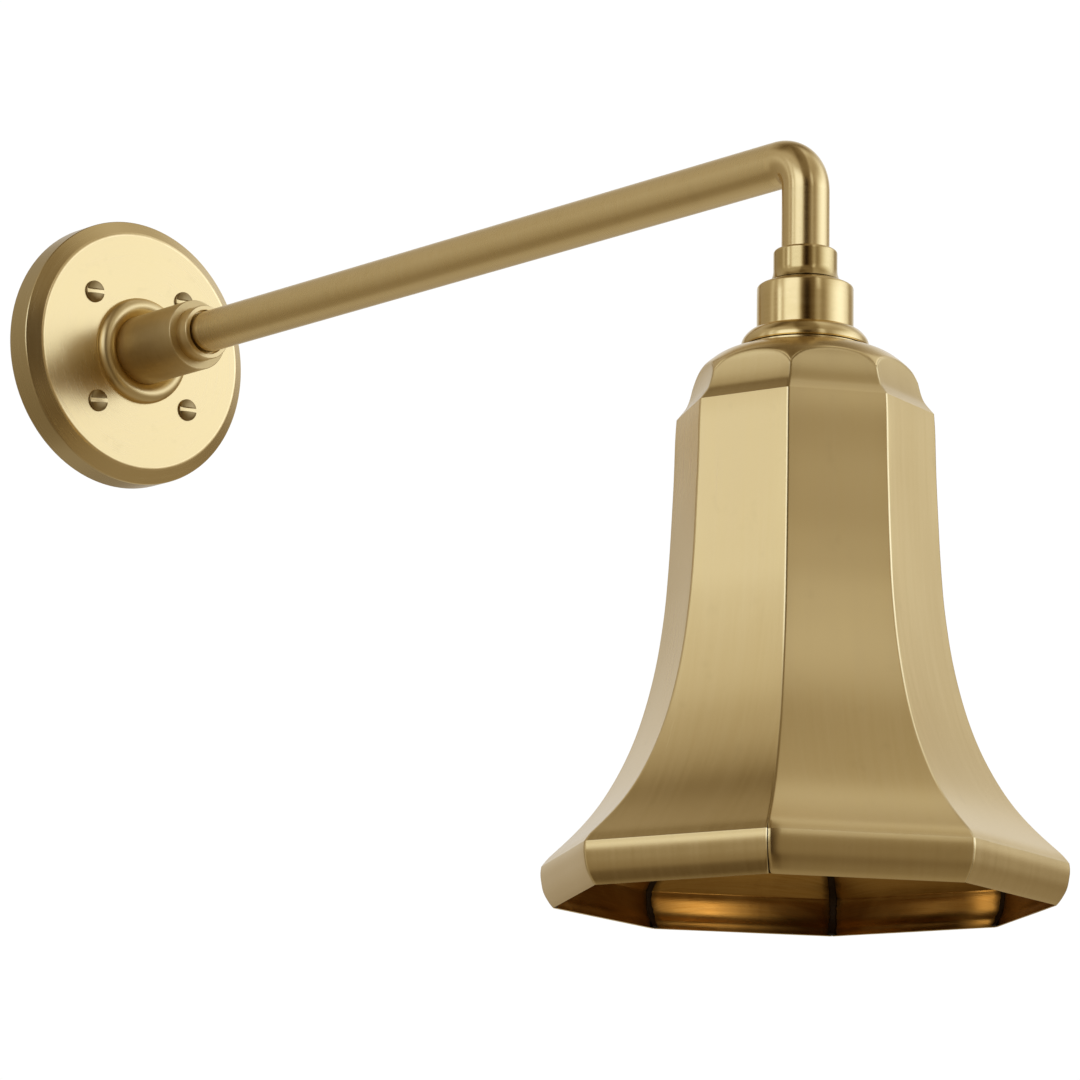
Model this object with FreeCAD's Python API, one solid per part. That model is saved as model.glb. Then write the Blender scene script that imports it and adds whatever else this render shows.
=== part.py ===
import FreeCAD, Part
import os
import math
from FreeCAD import Vector as V

# Wall sconce with a long horizontal arm, a short drop and an eight-sided bell
# shade.  Millimetres.  +Z up, X along the wall, the wall is the plane Y = 0 and
# the room is at negative Y.  The origin is the centre of the back of the wall
# plate; the arm runs along -Y at Z = 0 and the shade hangs on the vertical line
# X = 0, Y = -reach.

# ---------------------------------------------------------------- dimensions
reach = 461.3            # wall to the vertical axis of the shade
tube_r = 9.55            # arm and drop tube, outside
tube_wall = 1.5
fit = 0.05               # radial clearance of a glued, threaded or running fit

plate_r = 63.5           # wall plate, outside
plate_rim = 12.5         # depth of its straight rim
plate_face_r = 56.6      # flat front face inside the bevel
plate_depth = 17.1       # wall to front face
plate_wall = 2.0
screw_pcd_r = 37.0       # circle of the cover screws
screw_turn = 4.8         # how far the square of screws is turned, degrees
screw_head_r = 5.2
screw_head_h = 2.3
screw_shank_r = 2.05

bracket_r = 54.0         # steel fixing plate hidden behind the wall plate
bracket_t = 2.0
box_slot_spacing = 83.3  # wall box screws, centre to centre
box_slot_len = 14.0
box_slot_r = 2.4
cable_hole_r = 13.0
pillar_r = 4.0

bead_r = 25.4            # half-round bead at the foot of the hub
bead_top = 4.9            # its crest above the plate face
bead_in_r = 17.2         # inner end of the half round
barrel_r = 16.45
barrel_end = 61.3
nose_r = 12.7
nose_back = 61.3
nose_front = 68.8
nose_gap_r = 10.4        # open ring round the arm at the nose
arm_in = 34.0            # where the arm tube starts inside the hub
stud_r = 6.35
stud_bore_r = 4.6

bend_r = 14.4            # outer contour of the elbow, centre line radius
heel_r = 2.0             # tight inside corner of the elbow
elbow_bore_r = 5.0

drop_end = -49.0
coup_top = -38.8
coup_r = 12.72
coup_bot = -51.5
cup_r = 19.2
cup_wall = 1.3
cup_bot = -78.8
skirt_top = -71.7
skirt_bot = -79.0
skirt_r = 25.4
nipple_r = 5.1
nipple_bore_r = 3.6

holder_top = -57.5       # porcelain lampholder
holder_joint = -79.2
holder_bot = -120.0
thread_r = 19.8          # outside thread that carries the shade ring
thread_bot = -105.0
shell_r = 13.25          # lamp thread, inside of the screw shell
shell_t = 0.7
shell_top = -96.5
shell_bot = -117.5

crown_flat = -80.6       # top of the shade crown, its flat seat
crown_t = 1.6
crown_hole_r = 19.88     # turns on the sleeve of the lampholder
shade_turn = 15.23       # rest angle of the shade round its axis, degrees
sheet = 1.2              # thickness of the shade panels
n_side = 8

ring_top = -83.8         # shade ring
ring_h = 6.5
ring_r = 27.0
ring_bore_r = 19.87

wire_r = 1.4
wire_x = 1.7
wire_z = -74.6           # height at which the wires enter the terminals

C8 = math.cos(math.pi / n_side)

# shade ridge radius against height: collar, crease, body, flare, lip
neck_pts = [(44.2, -84.0), (44.35, -87.5), (44.55, -91.0), (44.95, -93.8), (45.55, -96.6),
            (46.35, -99.4), (47.45, -101.9), (49.15, -104.2), (51.25, -106.7)]
body_pts = [(51.25, -106.7), (51.6, -112.0), (51.9, -122.0), (52.15, -132.0), (52.55, -142.0),
            (53.0, -152.0), (53.5, -162.0), (54.15, -172.0), (54.95, -182.0), (56.15, -192.0),
            (57.67, -202.0), (59.7, -212.0), (62.26, -222.0), (65.45, -232.0), (69.54, -242.0),
            (74.75, -252.0), (81.33, -262.0), (88.2, -270.0), (93.3, -275.0), (97.7, -279.0),
            (100.35, -281.5), (102.7, -284.4)]
lip_pts = [(102.7, -284.4), (102.95, -286.3), (102.9, -288.6), (102.55, -290.9), (102.1, -293.2),
           (101.25, -295.5), (99.9, -297.8), (98.7, -299.5), (97.7, -300.6)]
# crown, a turned dome: radius against height
dome_pts = [(25.4, -80.6), (28.2, -80.95), (30.85, -81.65), (34.97, -83.5), (38.5, -86.0),
            (41.1, -88.3), (43.1, -90.6), (44.2, -92.7)]

os.makedirs("parts", exist_ok=True)
O = V(0, 0, 0)
EX, EY, EZ = V(1, 0, 0), V(0, 1, 0), V(0, 0, 1)


# ---------------------------------------------------------------- helpers
def P(p):
    return V(p[0], 0, p[1])


def spline(pts, t0=None, t1=None):
    c = Part.BSplineCurve()
    v = [P(p) if len(p) == 2 else V(*p) for p in pts]
    if t0 is not None:
        c.interpolate(Points=v, InitialTangent=t0, FinalTangent=t1)
    else:
        c.interpolate(Points=v)
    return c.toShape()


def line(a, b):
    return Part.makeLine(P(a), P(b))


def arc(a, m, b):
    return Part.Arc(P(a), P(m), P(b)).toShape()


def poly(pts):
    """closed polygon of (radius, height) points"""
    return [line(pts[i], pts[(i + 1) % len(pts)]) for i in range(len(pts))]


def turn(edges):
    """solid of revolution about Z of a closed outline in the XZ plane"""
    w = Part.Wire(Part.__sortEdges__(edges))
    s = Part.Face(w).revolve(O, EZ, 360)
    return Part.Solid(s) if s.ShapeType != "Solid" else s


def tube(r, bore, z0, z1):
    """hollow round bar between two heights"""
    z0, z1 = min(z0, z1), max(z0, z1)
    s = Part.makeCylinder(r, z1 - z0, V(0, 0, z0))
    if bore:
        s = s.cut(Part.makeCylinder(bore, z1 - z0 + 2, V(0, 0, z0 - 1)))
    return s


def from_wall(s):
    """model made along +Z (distance from the wall) laid along -Y"""
    s = s.copy()
    s.rotate(O, EX, 90)
    return s


def at_shade(s):
    """model made on the Z axis moved to the axis of the shade"""
    s = s.copy()
    s.translate(V(0, -reach, 0))
    return s


def hexagon(af, z0, z1, bore):
    r = af / 2.0 / math.cos(math.pi / 6)
    pts = [V(r * math.cos(k * math.pi / 3), r * math.sin(k * math.pi / 3), z0) for k in range(7)]
    s = Part.Face(Part.makePolygon(pts)).extrude(V(0, 0, z1 - z0))
    # turned corners
    h, c = z1 - z0, 0.5
    dome = turn(poly([(0, z0), (r - 1.6, z0), (r + 0.05, z0 + c), (r + 0.05, z1 - c), (r - 1.6, z1), (0, z1)]))
    s = s.common(dome)
    return s.cut(Part.makeCylinder(bore, h + 2, V(0, 0, z0 - 1)))


def save(name, shape, n=1):
    sols = shape.Solids
    if len(sols) != n:
        raise RuntimeError("%s has %d solids, expected %d" % (name, len(sols), n))
    out = sols[0] if n == 1 else Part.makeCompound(sols)
    if not out.isValid():
        raise RuntimeError(name + " is not valid")
    out.exportStep("parts/%s.step" % name)
    b = out.BoundBox
    print("%-18s %9.1f mm3  x %.1f..%.1f  y %.1f..%.1f  z %.1f..%.1f" % (
        name, out.Volume, b.XMin, b.XMax, b.YMin, b.YMax, b.ZMin, b.ZMax))


# ---------------------------------------------------------------- wall plate
# hollow turned plate: straight rim, bevel, flat face; open at the back
w = plate_wall
outer = turn(poly([(0, 0), (plate_r, 0), (plate_r, plate_rim - 0.4), (plate_r - 0.4, plate_rim),
                   (plate_face_r + 0.5, plate_depth - 0.25), (plate_face_r, plate_depth), (0, plate_depth)]))
inner = turn(poly([(0, -1), (plate_r - w, -1), (plate_r - w, plate_rim - 0.9),
                   (plate_face_r - 0.6, plate_depth - w), (0, plate_depth - w)]))
plate = outer.cut(inner)
plate = plate.cut(Part.makeCylinder(stud_r + fit, 10, V(0, 0, plate_depth - 5)))
screw_xy = []
for k in range(4):
    a = math.radians(45 + 90 * k + screw_turn)
    screw_xy.append((screw_pcd_r * math.cos(a), screw_pcd_r * math.sin(a)))
for x, z in screw_xy:
    plate = plate.cut(Part.makeCylinder(screw_shank_r + 0.2, 10, V(x, z, plate_depth - 5)))
save("wall_plate", from_wall(plate))

# slotted domed cover screws, one node of four solids
slot_turn = [4.0, 5.0, 7.0, 3.5]
screws = []
for k, (x, z) in enumerate(screw_xy):
    R = (screw_head_r ** 2 + screw_head_h ** 2) / (2 * screw_head_h)
    ed = [line((0, plate_depth), (screw_head_r, plate_depth)),
          line((screw_head_r, plate_depth), (screw_head_r, plate_depth + 0.5)),
          arc((screw_head_r, plate_depth + 0.5),
              (screw_head_r * 0.6, plate_depth + 0.5 + (screw_head_h - 0.5) * 0.66),
              (0, plate_depth + screw_head_h)),
          line((0, plate_depth + screw_head_h), (0, plate_depth))]
    head = turn(ed)
    slot = Part.makeBox(12, 2.0, 3, V(-6, -1.0, plate_depth + screw_head_h - 1.2))
    slot.rotate(O, EZ, slot_turn[k])
    head = head.cut(slot)
    shank = Part.makeCylinder(screw_shank_r - 0.03, 10.5, V(0, 0, plate_depth - 10.4))
    s = head.fuse(shank)
    s.translate(V(x, z, 0))
    screws.append(from_wall(s))
save("cover_screws", Part.makeCompound(screws), 4)

# steel fixing plate against the wall, with wall box slots and a cable hole
br = Part.makeCylinder(bracket_r, bracket_t)
br = br.cut(Part.makeCylinder(cable_hole_r, 5, V(0, 0, -1)))
for sx in (-1, 1):
    cx = sx * box_slot_spacing / 2.0
    h = box_slot_len / 2.0 - box_slot_r
    sl = Part.makeBox(2 * h, 2 * box_slot_r, 6, V(cx - h, -box_slot_r, -1))
    sl = sl.fuse(Part.makeCylinder(box_slot_r, 6, V(cx - h, 0, -1)))
    sl = sl.fuse(Part.makeCylinder(box_slot_r, 6, V(cx + h, 0, -1)))
    br = br.cut(sl)
earth_x = -20.0
br = br.cut(Part.makeCylinder(2.0, 6, V(earth_x, 0, -1)))
save("fixing_plate", from_wall(br))

# tapped pillars on the fixing plate that the cover screws go into
pil = []
for x, z in screw_xy:
    p = Part.makeCylinder(pillar_r, plate_depth - plate_wall - bracket_t, V(x, z, bracket_t))
    p = p.cut(Part.makeCylinder(screw_shank_r, 20, V(x, z, bracket_t - 1)))
    pil.append(from_wall(p))
save("cover_pillars", Part.makeCompound(pil), 4)

# earth screw on the fixing plate
es = Part.makeCylinder(1.97, 4.7, V(earth_x, 0, 0.2)).fuse(Part.makeCylinder(4.0, 2.2, V(earth_x, 0, 4.9)))
es = es.cut(Part.makeBox(10, 1.0, 2, V(earth_x - 5, -0.5, 6.1)))
save("earth_screw", from_wall(es))

# ---------------------------------------------------------------- hub
fd = plate_depth
ed = [line((barrel_r + fit, fd), (bead_r, fd)),
      line((bead_r, fd), (bead_r, fd + 0.5)),
      arc((bead_r, fd + 0.5), (21.35, fd + bead_top), (bead_in_r, fd + 2.2)),
      line((bead_in_r, fd + 2.2), (barrel_r + fit, fd + 2.2)),
      line((barrel_r + fit, fd + 2.2), (barrel_r + fit, fd))]
save("hub_bead", from_wall(turn(ed)))

ar = tube_r + fit
bar = turn(poly([(stud_r + fit, fd), (barrel_r, fd), (barrel_r, barrel_end - 0.5), (barrel_r - 0.5, barrel_end),
                 (12.0, barrel_end), (12.0, barrel_end - 6), (ar, barrel_end - 6), (ar, arm_in),
                 (stud_r + fit, arm_in)]))
set_d = 46.0
bar = bar.cut(Part.makeCylinder(2.5, 30, V(0, 0, set_d), V(1, 0, 0)))
save("hub_barrel", from_wall(bar))

gs = Part.makeCylinder(2.46, 6.2, V(tube_r, 0, set_d), V(1, 0, 0))
hx = Part.makeCylinder(1.25, 3, V(tube_r + 3.6, 0, set_d), V(1, 0, 0))
save("arm_set_screw", from_wall(gs.cut(hx)))

nose = turn(poly([(ar, barrel_end - 5.9), (11.95, barrel_end - 5.9), (11.95, nose_back), (nose_r, nose_back),
                  (nose_r, nose_front - 0.5), (nose_r - 0.5, nose_front), (nose_gap_r + 0.3, nose_front),
                  (nose_gap_r, nose_front - 0.3), (nose_gap_r, nose_front - 3.5), (ar, nose_front - 3.5)]))
save("hub_nose", from_wall(nose))

stud = tube(stud_r, stud_bore_r, 9.6, arm_in - 0.2)
save("hub_stud", from_wall(stud))
nut = hexagon(19.0, 10.2, 14.0, stud_r + fit)
save("hub_nut", from_wall(nut))
wash = tube(10.6, stud_r + fit, 14.05, plate_depth - plate_wall)
save("hub_washer", from_wall(wash))

# ---------------------------------------------------------------- arm, elbow, drop
arm = tube(tube_r, tube_r - tube_wall, arm_in + 0.05, reach - bend_r)
save("arm_tube", from_wall(arm))


def ring_pts(c, u, ru, rx, n=24):
    """closed curve round centre c: half-width rx along X, half-height ru along u"""
    out = []
    for i in range(n):
        t = 2 * math.pi * i / n
        out.append(V(c.x + rx * math.sin(t), c.y + u.y * ru * math.cos(t), c.z + u.z * ru * math.cos(t)))
    return out


# sections of the elbow; d = distance back along the arm, h = distance down the drop
secs = []


def section(d_in, h_in, d_out, h_out):
    c = V(0, -reach + (d_in + d_out) / 2.0, -(h_in + h_out) / 2.0)
    uy, uz = d_out - d_in, -(h_out - h_in)
    n = math.hypot(uy, uz)
    secs.append((c, V(0, uy / n, uz / n), n / 2.0))


hc = tube_r + heel_r
section(bend_r, tube_r, bend_r, -tube_r)
for k in range(0, 7):
    th = math.radians(15 * k)
    dx, dz = -math.sin(th), -math.cos(th)
    # outer contour: circle of radius bend_r + tube_r about (bend_r, bend_r)
    ox, oz = hc - bend_r, hc - bend_r
    b = ox * dx + oz * dz
    cc = ox * ox + oz * oz - (bend_r + tube_r) ** 2
    s = -b + math.sqrt(b * b - cc)
    section(hc + heel_r * dx, hc + heel_r * dz, hc + s * dx, hc + s * dz)
section(tube_r, bend_r, -tube_r, bend_r)
wires = []
for c, u, ru in secs:
    bs = Part.BSplineCurve()
    bs.interpolate(Points=ring_pts(c, u, ru, tube_r), PeriodicFlag=True)
    wires.append(Part.Wire([bs.toShape()]))
elb = Part.makeLoft(wires, True, False, False)
sp = tube_r - tube_wall - fit
elb = elb.fuse(Part.makeCylinder(sp, 8, V(0, -reach + bend_r, 0), V(0, 1, 0)))
elb = elb.fuse(Part.makeCylinder(sp, 8, V(0, -reach, -bend_r), V(0, 0, -1)))
# quarter of the torus that runs from the arm to the drop
quart = Part.makeBox(2 * elbow_bore_r + 2, 40, 40, V(-elbow_bore_r - 1, -reach + bend_r - 40, -bend_r))
tor = Part.makeTorus(bend_r, elbow_bore_r, V(0, -reach + bend_r, -bend_r), V(1, 0, 0))
bore = tor.common(quart)
bore = bore.fuse(Part.makeCylinder(elbow_bore_r, 20, V(0, -reach + bend_r, 0), V(0, 1, 0)))
bore = bore.fuse(Part.makeCylinder(elbow_bore_r, 20, V(0, -reach, -bend_r), V(0, 0, -1)))
elb = elb.cut(bore)
save("elbow", elb)

drop = tube(tube_r, tube_r - tube_wall, drop_end, -bend_r)
save("drop_tube", at_shade(drop))

# ---------------------------------------------------------------- coupling, cup, skirt
r = 2.0
ed = [arc((coup_r - r, coup_top), (coup_r - r + r * math.sin(math.pi / 4), coup_top - r + r * math.cos(math.pi / 4)),
          (coup_r, coup_top - r)),
      line((coup_r, coup_top - r), (coup_r, coup_bot + 1.4)),
      arc((coup_r, coup_bot + 1.4), (coup_r + 0.26, coup_bot + 0.62), (coup_r + 1.0, coup_bot)),
      line((coup_r + 1.0, coup_bot), (nipple_r + fit, coup_bot)),
      line((nipple_r + fit, coup_bot), (nipple_r + fit, drop_end)),
      line((nipple_r + fit, drop_end), (tube_r + fit, drop_end)),
      line((tube_r + fit, drop_end), (tube_r + fit, coup_top)),
      line((tube_r + fit, coup_top), (coup_r - r, coup_top))]
save("stem_coupling", at_shade(turn(ed)))

t = cup_wall
ct = coup_bot - 0.02
ed = [line((nipple_r + fit, ct), (coup_r + 1.0, ct)),
      line((coup_r + 1.0, ct), (18.1, -53.45)),
      arc((18.1, -53.45), (18.88, -54.0), (cup_r, -54.85)),
      line((cup_r, -54.85), (cup_r, cup_bot)),
      line((cup_r, cup_bot), (cup_r - t, cup_bot)),
      line((cup_r - t, cup_bot), (cup_r - t, -55.5)),
      line((cup_r - t, -55.5), (17.0, -54.7)),
      line((17.0, -54.7), (13.4, -53.1)),
      line((13.4, -53.1), (nipple_r + fit, -53.1)),
      line((nipple_r + fit, -53.1), (nipple_r + fit, ct))]
save("socket_cup", at_shade(turn(ed)))

ed = [line((cup_r + fit, skirt_top), (20.0, skirt_top)),
      spline([(20.0, skirt_top), (21.4, -72.25), (23.0, -73.4), (24.15, -74.75), (24.95, -76.1), (25.3, -77.4),
              (skirt_r, -78.5)]),
      line((skirt_r, -78.5), (skirt_r - 0.3, skirt_bot)),
      line((skirt_r - 0.3, skirt_bot), (cup_r + fit, skirt_bot)),
      line((cup_r + fit, skirt_bot), (cup_r + fit, skirt_top))]
save("skirt_ring", at_shade(turn(ed)))

nip = tube(nipple_r, nipple_bore_r, -45.0, -70.0)
save("stem_nipple", at_shade(nip))
save("cup_nut", at_shade(hexagon(17.0, -57.0, -53.15, nipple_r + fit)))

# ---------------------------------------------------------------- lampholder
cap = turn(poly([(nipple_r + fit, holder_top), (15.2, holder_top), (17.2, holder_top - 2), (17.2, holder_joint),
                 (14.6, holder_joint), (14.6, -65.0), (nipple_r + fit, -65.0)]))
save("lampholder_cap", at_shade(cap))
save("holder_nut", at_shade(hexagon(14.5, -68.8, -65.05, nipple_r + fit)))

hb = turn(poly([(0, holder_joint), (thread_r - 0.4, holder_joint), (thread_r, holder_joint - 0.4), (thread_r, thread_bot + 0.8),
                (thread_r - 0.8, thread_bot), (17.6, thread_bot - 1.2), (17.6, holder_bot + 1.0),
                (16.6, holder_bot), (shell_r + shell_t + 0.7, holder_bot), (shell_r + shell_t + fit, holder_bot + 1.0),
                (shell_r + shell_t + fit, -91.5), (0, -91.5)]))
term_x = 9.0
for sx in (-1, 1):
    hb = hb.cut(Part.makeCylinder(1.25, 20, V(sx * term_x, 0, -96)))
save("lampholder_body", at_shade(hb))

sh = tube(shell_r + shell_t, shell_r, shell_top, shell_bot)
tab = Part.makeBox(6.0, 6.0, 0.6, V(7.6, -3.0, -92.15)).cut(Part.makeCylinder(1.25, 5, V(term_x, 0, -94)))
tabv = Part.makeBox(0.6, 5.0, 5.4, V(13.05, -2.5, -96.95))
sh = sh.fuse(tab.fuse(tabv))
save("screw_shell", at_shade(sh))

for nm, sx in (("live_terminal", -1), ("neutral_terminal", 1)):
    x0 = 5.7 if sx > 0 else -13.2
    blk = Part.makeBox(7.5, 7.0, 6.6, V(x0, -3.5, holder_joint + 0.02))
    blk = blk.cut(Part.makeCylinder(1.7, 8, V(sx * 10.6, 0, holder_joint + 3.2)))
    blk = blk.cut(Part.makeCylinder(wire_r + 0.04, 3.2, V(sx * 5.5, 0, wire_z), V(sx, 0, 0)))
    blk = blk.fuse(Part.makeCylinder(1.2, 12.7, V(sx * term_x, 0, -91.6)))
    save(nm, at_shade(blk))
ts = []
for sx in (-1, 1):
    s = Part.makeCylinder(1.65, 4.6, V(sx * 10.6, 0, holder_joint + 3.4)).fuse(
        Part.makeCylinder(2.6, 1.6, V(sx * 10.6, 0, holder_joint + 6.7)))
    s = s.cut(Part.makeBox(7, 0.8, 1.2, V(sx * 10.6 - 3.5, -0.4, holder_joint + 7.5)))
    ts.append(at_shade(s))
save("terminal_screws", Part.makeCompound(ts), 2)

# fixed foot of the centre contact, then its springy tongue
foot = Part.makeBox(4.6, 5.0, 0.5, V(-11.3, -2.5, -92.15)).fuse(Part.makeCylinder(1.9, 0.5, V(-term_x, 0, -92.6)))
save("contact_foot", at_shade(foot))
tx0 = -6.4
tip = [(tx0, -91.85), (tx0, -92.35), (-1.9, -95.2), (-0.6, -95.7), (1.4, -95.7), (2.4, -95.0), (2.0, -94.65),
       (1.2, -95.2), (-0.5, -95.2), (-1.7, -94.75)]
f = Part.Face(Part.makePolygon([V(a, -2.2, b) for a, b in tip] + [V(tip[0][0], -2.2, tip[0][1])]))
save("centre_contact", at_shade(f.extrude(V(0, 4.4, 0))))

# ---------------------------------------------------------------- shade
# offset of the ridge curve to flat-side distances, and the inside of the sheet


def flats(pts):
    return [(a * C8, b) for a, b in pts]


def dense(pts, n):
    c = Part.BSplineCurve()
    c.interpolate(Points=[P(p) for p in pts])
    a, b = c.FirstParameter, c.LastParameter
    return [(c.value(a + (b - a) * i / n).x, c.value(a + (b - a) * i / n).z) for i in range(n + 1)]


out_dense = dense(flats(neck_pts), 60)[:-1] + dense(flats(body_pts), 260)[:-1] + dense(flats(lip_pts), 60)


def inside(z):
    best = 1e9
    for rr, zz in out_dense:
        dz = z - zz
        if abs(dz) < sheet:
            best = min(best, rr - math.sqrt(sheet * sheet - dz * dz))
    return best


def inner_pts(z0, z1, n):
    return [(inside(z0 + (z1 - z0) * i / n), z0 + (z1 - z0) * i / n) for i in range(n + 1)]


def panel():
    top, bot = neck_pts[0][1], lip_pts[-1][1]
    zc, zl = body_pts[0][1] + 0.25, lip_pts[0][1] + 0.55
    i1 = inner_pts(top, zc, 14)
    i2 = inner_pts(zc, zl, 34)
    i3 = inner_pts(zl, bot + 0.35, 10)
    o1, o2, o3 = flats(neck_pts), flats(body_pts), flats(lip_pts)
    end_in = (o3[-1][0] - 1.0, bot)
    ed = [spline(o1), spline(o2), spline(o3), line(o3[-1], end_in), line(end_in, i3[-1]),
          spline(i3), spline(i2), spline(i1), line(i1[0], o1[0])]
    w = Part.Wire(Part.__sortEdges__(ed))
    s = Part.Face(w).extrude(V(0, 100, 0))
    s.translate(V(0, -50, 0))
    k = math.tan(math.pi / n_side)
    tri = Part.Face(Part.makePolygon([V(0, 0, -320), V(140, -140 * k, -320), V(140, 140 * k, -320), V(0, 0, -320)]))
    return s.common(tri.extrude(V(0, 0, 300)))


def dome_solid(drop_by, top_z, r0):
    """everything below the dome curve, moved in by an offset"""
    pts = dome_pts
    if drop_by:
        q = []
        for i, (a, b) in enumerate(pts):
            a0, b0 = pts[max(0, i - 1)]
            a1, b1 = pts[min(len(pts) - 1, i + 1)]
            tx, tz = a1 - a0, b1 - b0
            n = math.hypot(tx, tz)
            q.append((a + drop_by * tz / n, b - drop_by * tx / n))
        pts = q
    a, b = pts[-1]
    ed = [line((r0, top_z), pts[0]), spline(pts), line(pts[-1], (a + 2.3, b - 2.1)),
          line((a + 2.3, b - 2.1), (130, b - 8)), line((130, b - 8), (130, -310)), line((130, -310), (r0, -310)),
          line((r0, -310), (r0, top_z))]
    return turn(ed)


shell_all = dome_solid(0, crown_flat, 0.001)
pan = panel().common(shell_all)
for k in range(n_side):
    s = pan.copy()
    s.rotate(O, EZ, shade_turn + 360.0 / n_side * k)
    save("shade_panel_%d" % (k + 1), at_shade(s))

# turned crown, seated inside the tops of the panels
q0 = dome_solid(0, crown_flat, crown_hole_r)
q1 = dome_solid(crown_t, crown_flat - crown_t, crown_hole_r - 1)
crown = q0.cut(q1)
ap = 44.2 * C8 - sheet - 0.02
pr = []
for k in range(n_side + 1):
    a = math.radians(shade_turn + 22.5 + 45 * k)
    pr.append(V(ap / C8 * math.cos(a), ap / C8 * math.sin(a), -94))
prism = Part.Face(Part.makePolygon(pr)).extrude(V(0, 0, 20))
crown = crown.common(prism)
save("shade_crown", at_shade(crown))

# thin seat washer between the skirt and the crown
save("seat_washer", at_shade(tube(24.9, 20.3, crown_flat + 0.02, skirt_bot - 0.3)))

# fibre washer and threaded ring that clamp the crown from below
save("clamp_washer", at_shade(tube(27.4, ring_bore_r + 0.02, ring_top + 0.3, crown_flat - crown_t - 0.3)))
rg = turn(poly([(ring_bore_r, ring_top - 0.0), (ring_r - 0.8, ring_top), (ring_r, ring_top - 0.8),
                (ring_r, ring_top - ring_h + 0.8), (ring_r - 0.8, ring_top - ring_h),
                (ring_bore_r + 0.6, ring_top - ring_h), (ring_bore_r, ring_top - ring_h + 0.6)]))
for k in range(24):
    a = 2 * math.pi * k / 24
    rg = rg.cut(Part.makeCylinder(0.9, ring_h + 2, V((ring_r + 0.45) * math.cos(a), (ring_r + 0.45) * math.sin(a),
                                                    ring_top - ring_h - 1)))
save("shade_ring", at_shade(rg))

# ---------------------------------------------------------------- wiring, held inside all the way


def quarter(c, R, rr, plane, sy, sz):
    """quarter of a round bar bent to radius R about c, in the YZ or XZ plane"""
    ax = V(1, 0, 0) if plane == "yz" else V(0, 1, 0)
    t = Part.makeTorus(R, rr, c, ax)
    d = R + rr + 2
    if plane == "yz":
        b = Part.makeBox(2 * rr + 2, d, d, V(c.x - rr - 1, c.y if sy > 0 else c.y - d, c.z if sz > 0 else c.z - d))
    else:
        b = Part.makeBox(d, 2 * rr + 2, d, V(c.x if sy > 0 else c.x - d, c.y - rr - 1, c.z if sz > 0 else c.z - d))
    return t.common(b)


def bar_between(a, b, rr):
    d = b.sub(a)
    return Part.makeCylinder(rr, d.Length, a, d)


def wire_run(sx, up):
    x = sx * wire_x
    q = 1 if up else -1
    rb = 5.0                      # bend behind the hub stud
    y_exit = -12.4
    parts = [bar_between(V(x, y_exit + rb, q * rb), V(x, y_exit + rb, q * 29.0), wire_r),
             quarter(V(x, y_exit, q * rb), rb, wire_r, "yz", 1, -q),
             bar_between(V(x, y_exit, 0), V(x, -reach + bend_r, 0), wire_r),
             quarter(V(x, -reach + bend_r, -bend_r), bend_r, wire_r, "yz", -1, 1),
             bar_between(V(x, -reach, -bend_r), V(x, -reach, wire_z + 4.0), wire_r),
             quarter(V(x + sx * 4.0, -reach, wire_z + 4.0), 4.0, wire_r, "xz", -sx, -1),
             bar_between(V(x + sx * 4.0, -reach, wire_z), V(x + sx * 6.9, -reach, wire_z), wire_r)]
    s = parts[0]
    for p in parts[1:]:
        s = s.fuse(p)
    return s.removeSplitter()


save("live_wire", wire_run(-1, False))
save("neutral_wire", wire_run(1, True))
earth_wx = earth_x + 3.32     # beside the shank, under the head of the earth screw
# it lies on the fixing plate under the screw head, then steps forward into its connector
ew = bar_between(V(earth_wx, -3.45, -3.4), V(earth_wx, -3.45, 9.0), 1.3)
for a, b in (((-3.45, 9.0), (-6.1, 18.0)), ((-6.1, 18.0), (-6.1, 29.0))):
    ew = ew.fuse(Part.makeSphere(1.3, V(earth_wx, a[0], a[1])))
    ew = ew.fuse(bar_between(V(earth_wx, a[0], a[1]), V(earth_wx, b[0], b[1]), 1.3))
save("earth_wire", ew.removeSplitter())


def connector(x, y, z, q):
    """twist-on wire connector, closed end away from the wire"""
    s = turn(poly([(0, 0), (4.6, 0), (4.9, 1.5), (4.2, 9.0), (2.6, 16.0), (1.4, 17.0), (0, 17.0)]))
    s = s.cut(Part.makeCylinder(1.5, 9, V(0, 0, -0.5)))
    if q < 0:
        s.rotate(O, EX, 180)
    s.translate(V(x, y, z))
    return s


cn = [connector(-wire_x, -7.4, -24.0, -1), connector(wire_x, -7.4, 24.0, 1)]
# the earth connector sits a little forward so that it clears the fixing plate
ce = turn(poly([(0, 0), (3.6, 0), (3.9, 1.5), (3.4, 9.0), (2.2, 15.0), (1.2, 16.0), (0, 16.0)])).cut(
    Part.makeCylinder(1.35, 7, V(0, 0, -0.5)))
ce.translate(V(earth_wx, -6.1, 26.0))
cn.append(ce)
save("wire_connectors", Part.makeCompound(cn), 3)
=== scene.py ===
import math

import bmesh
import bpy
import numpy as np
from mathutils import Matrix, Vector


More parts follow.
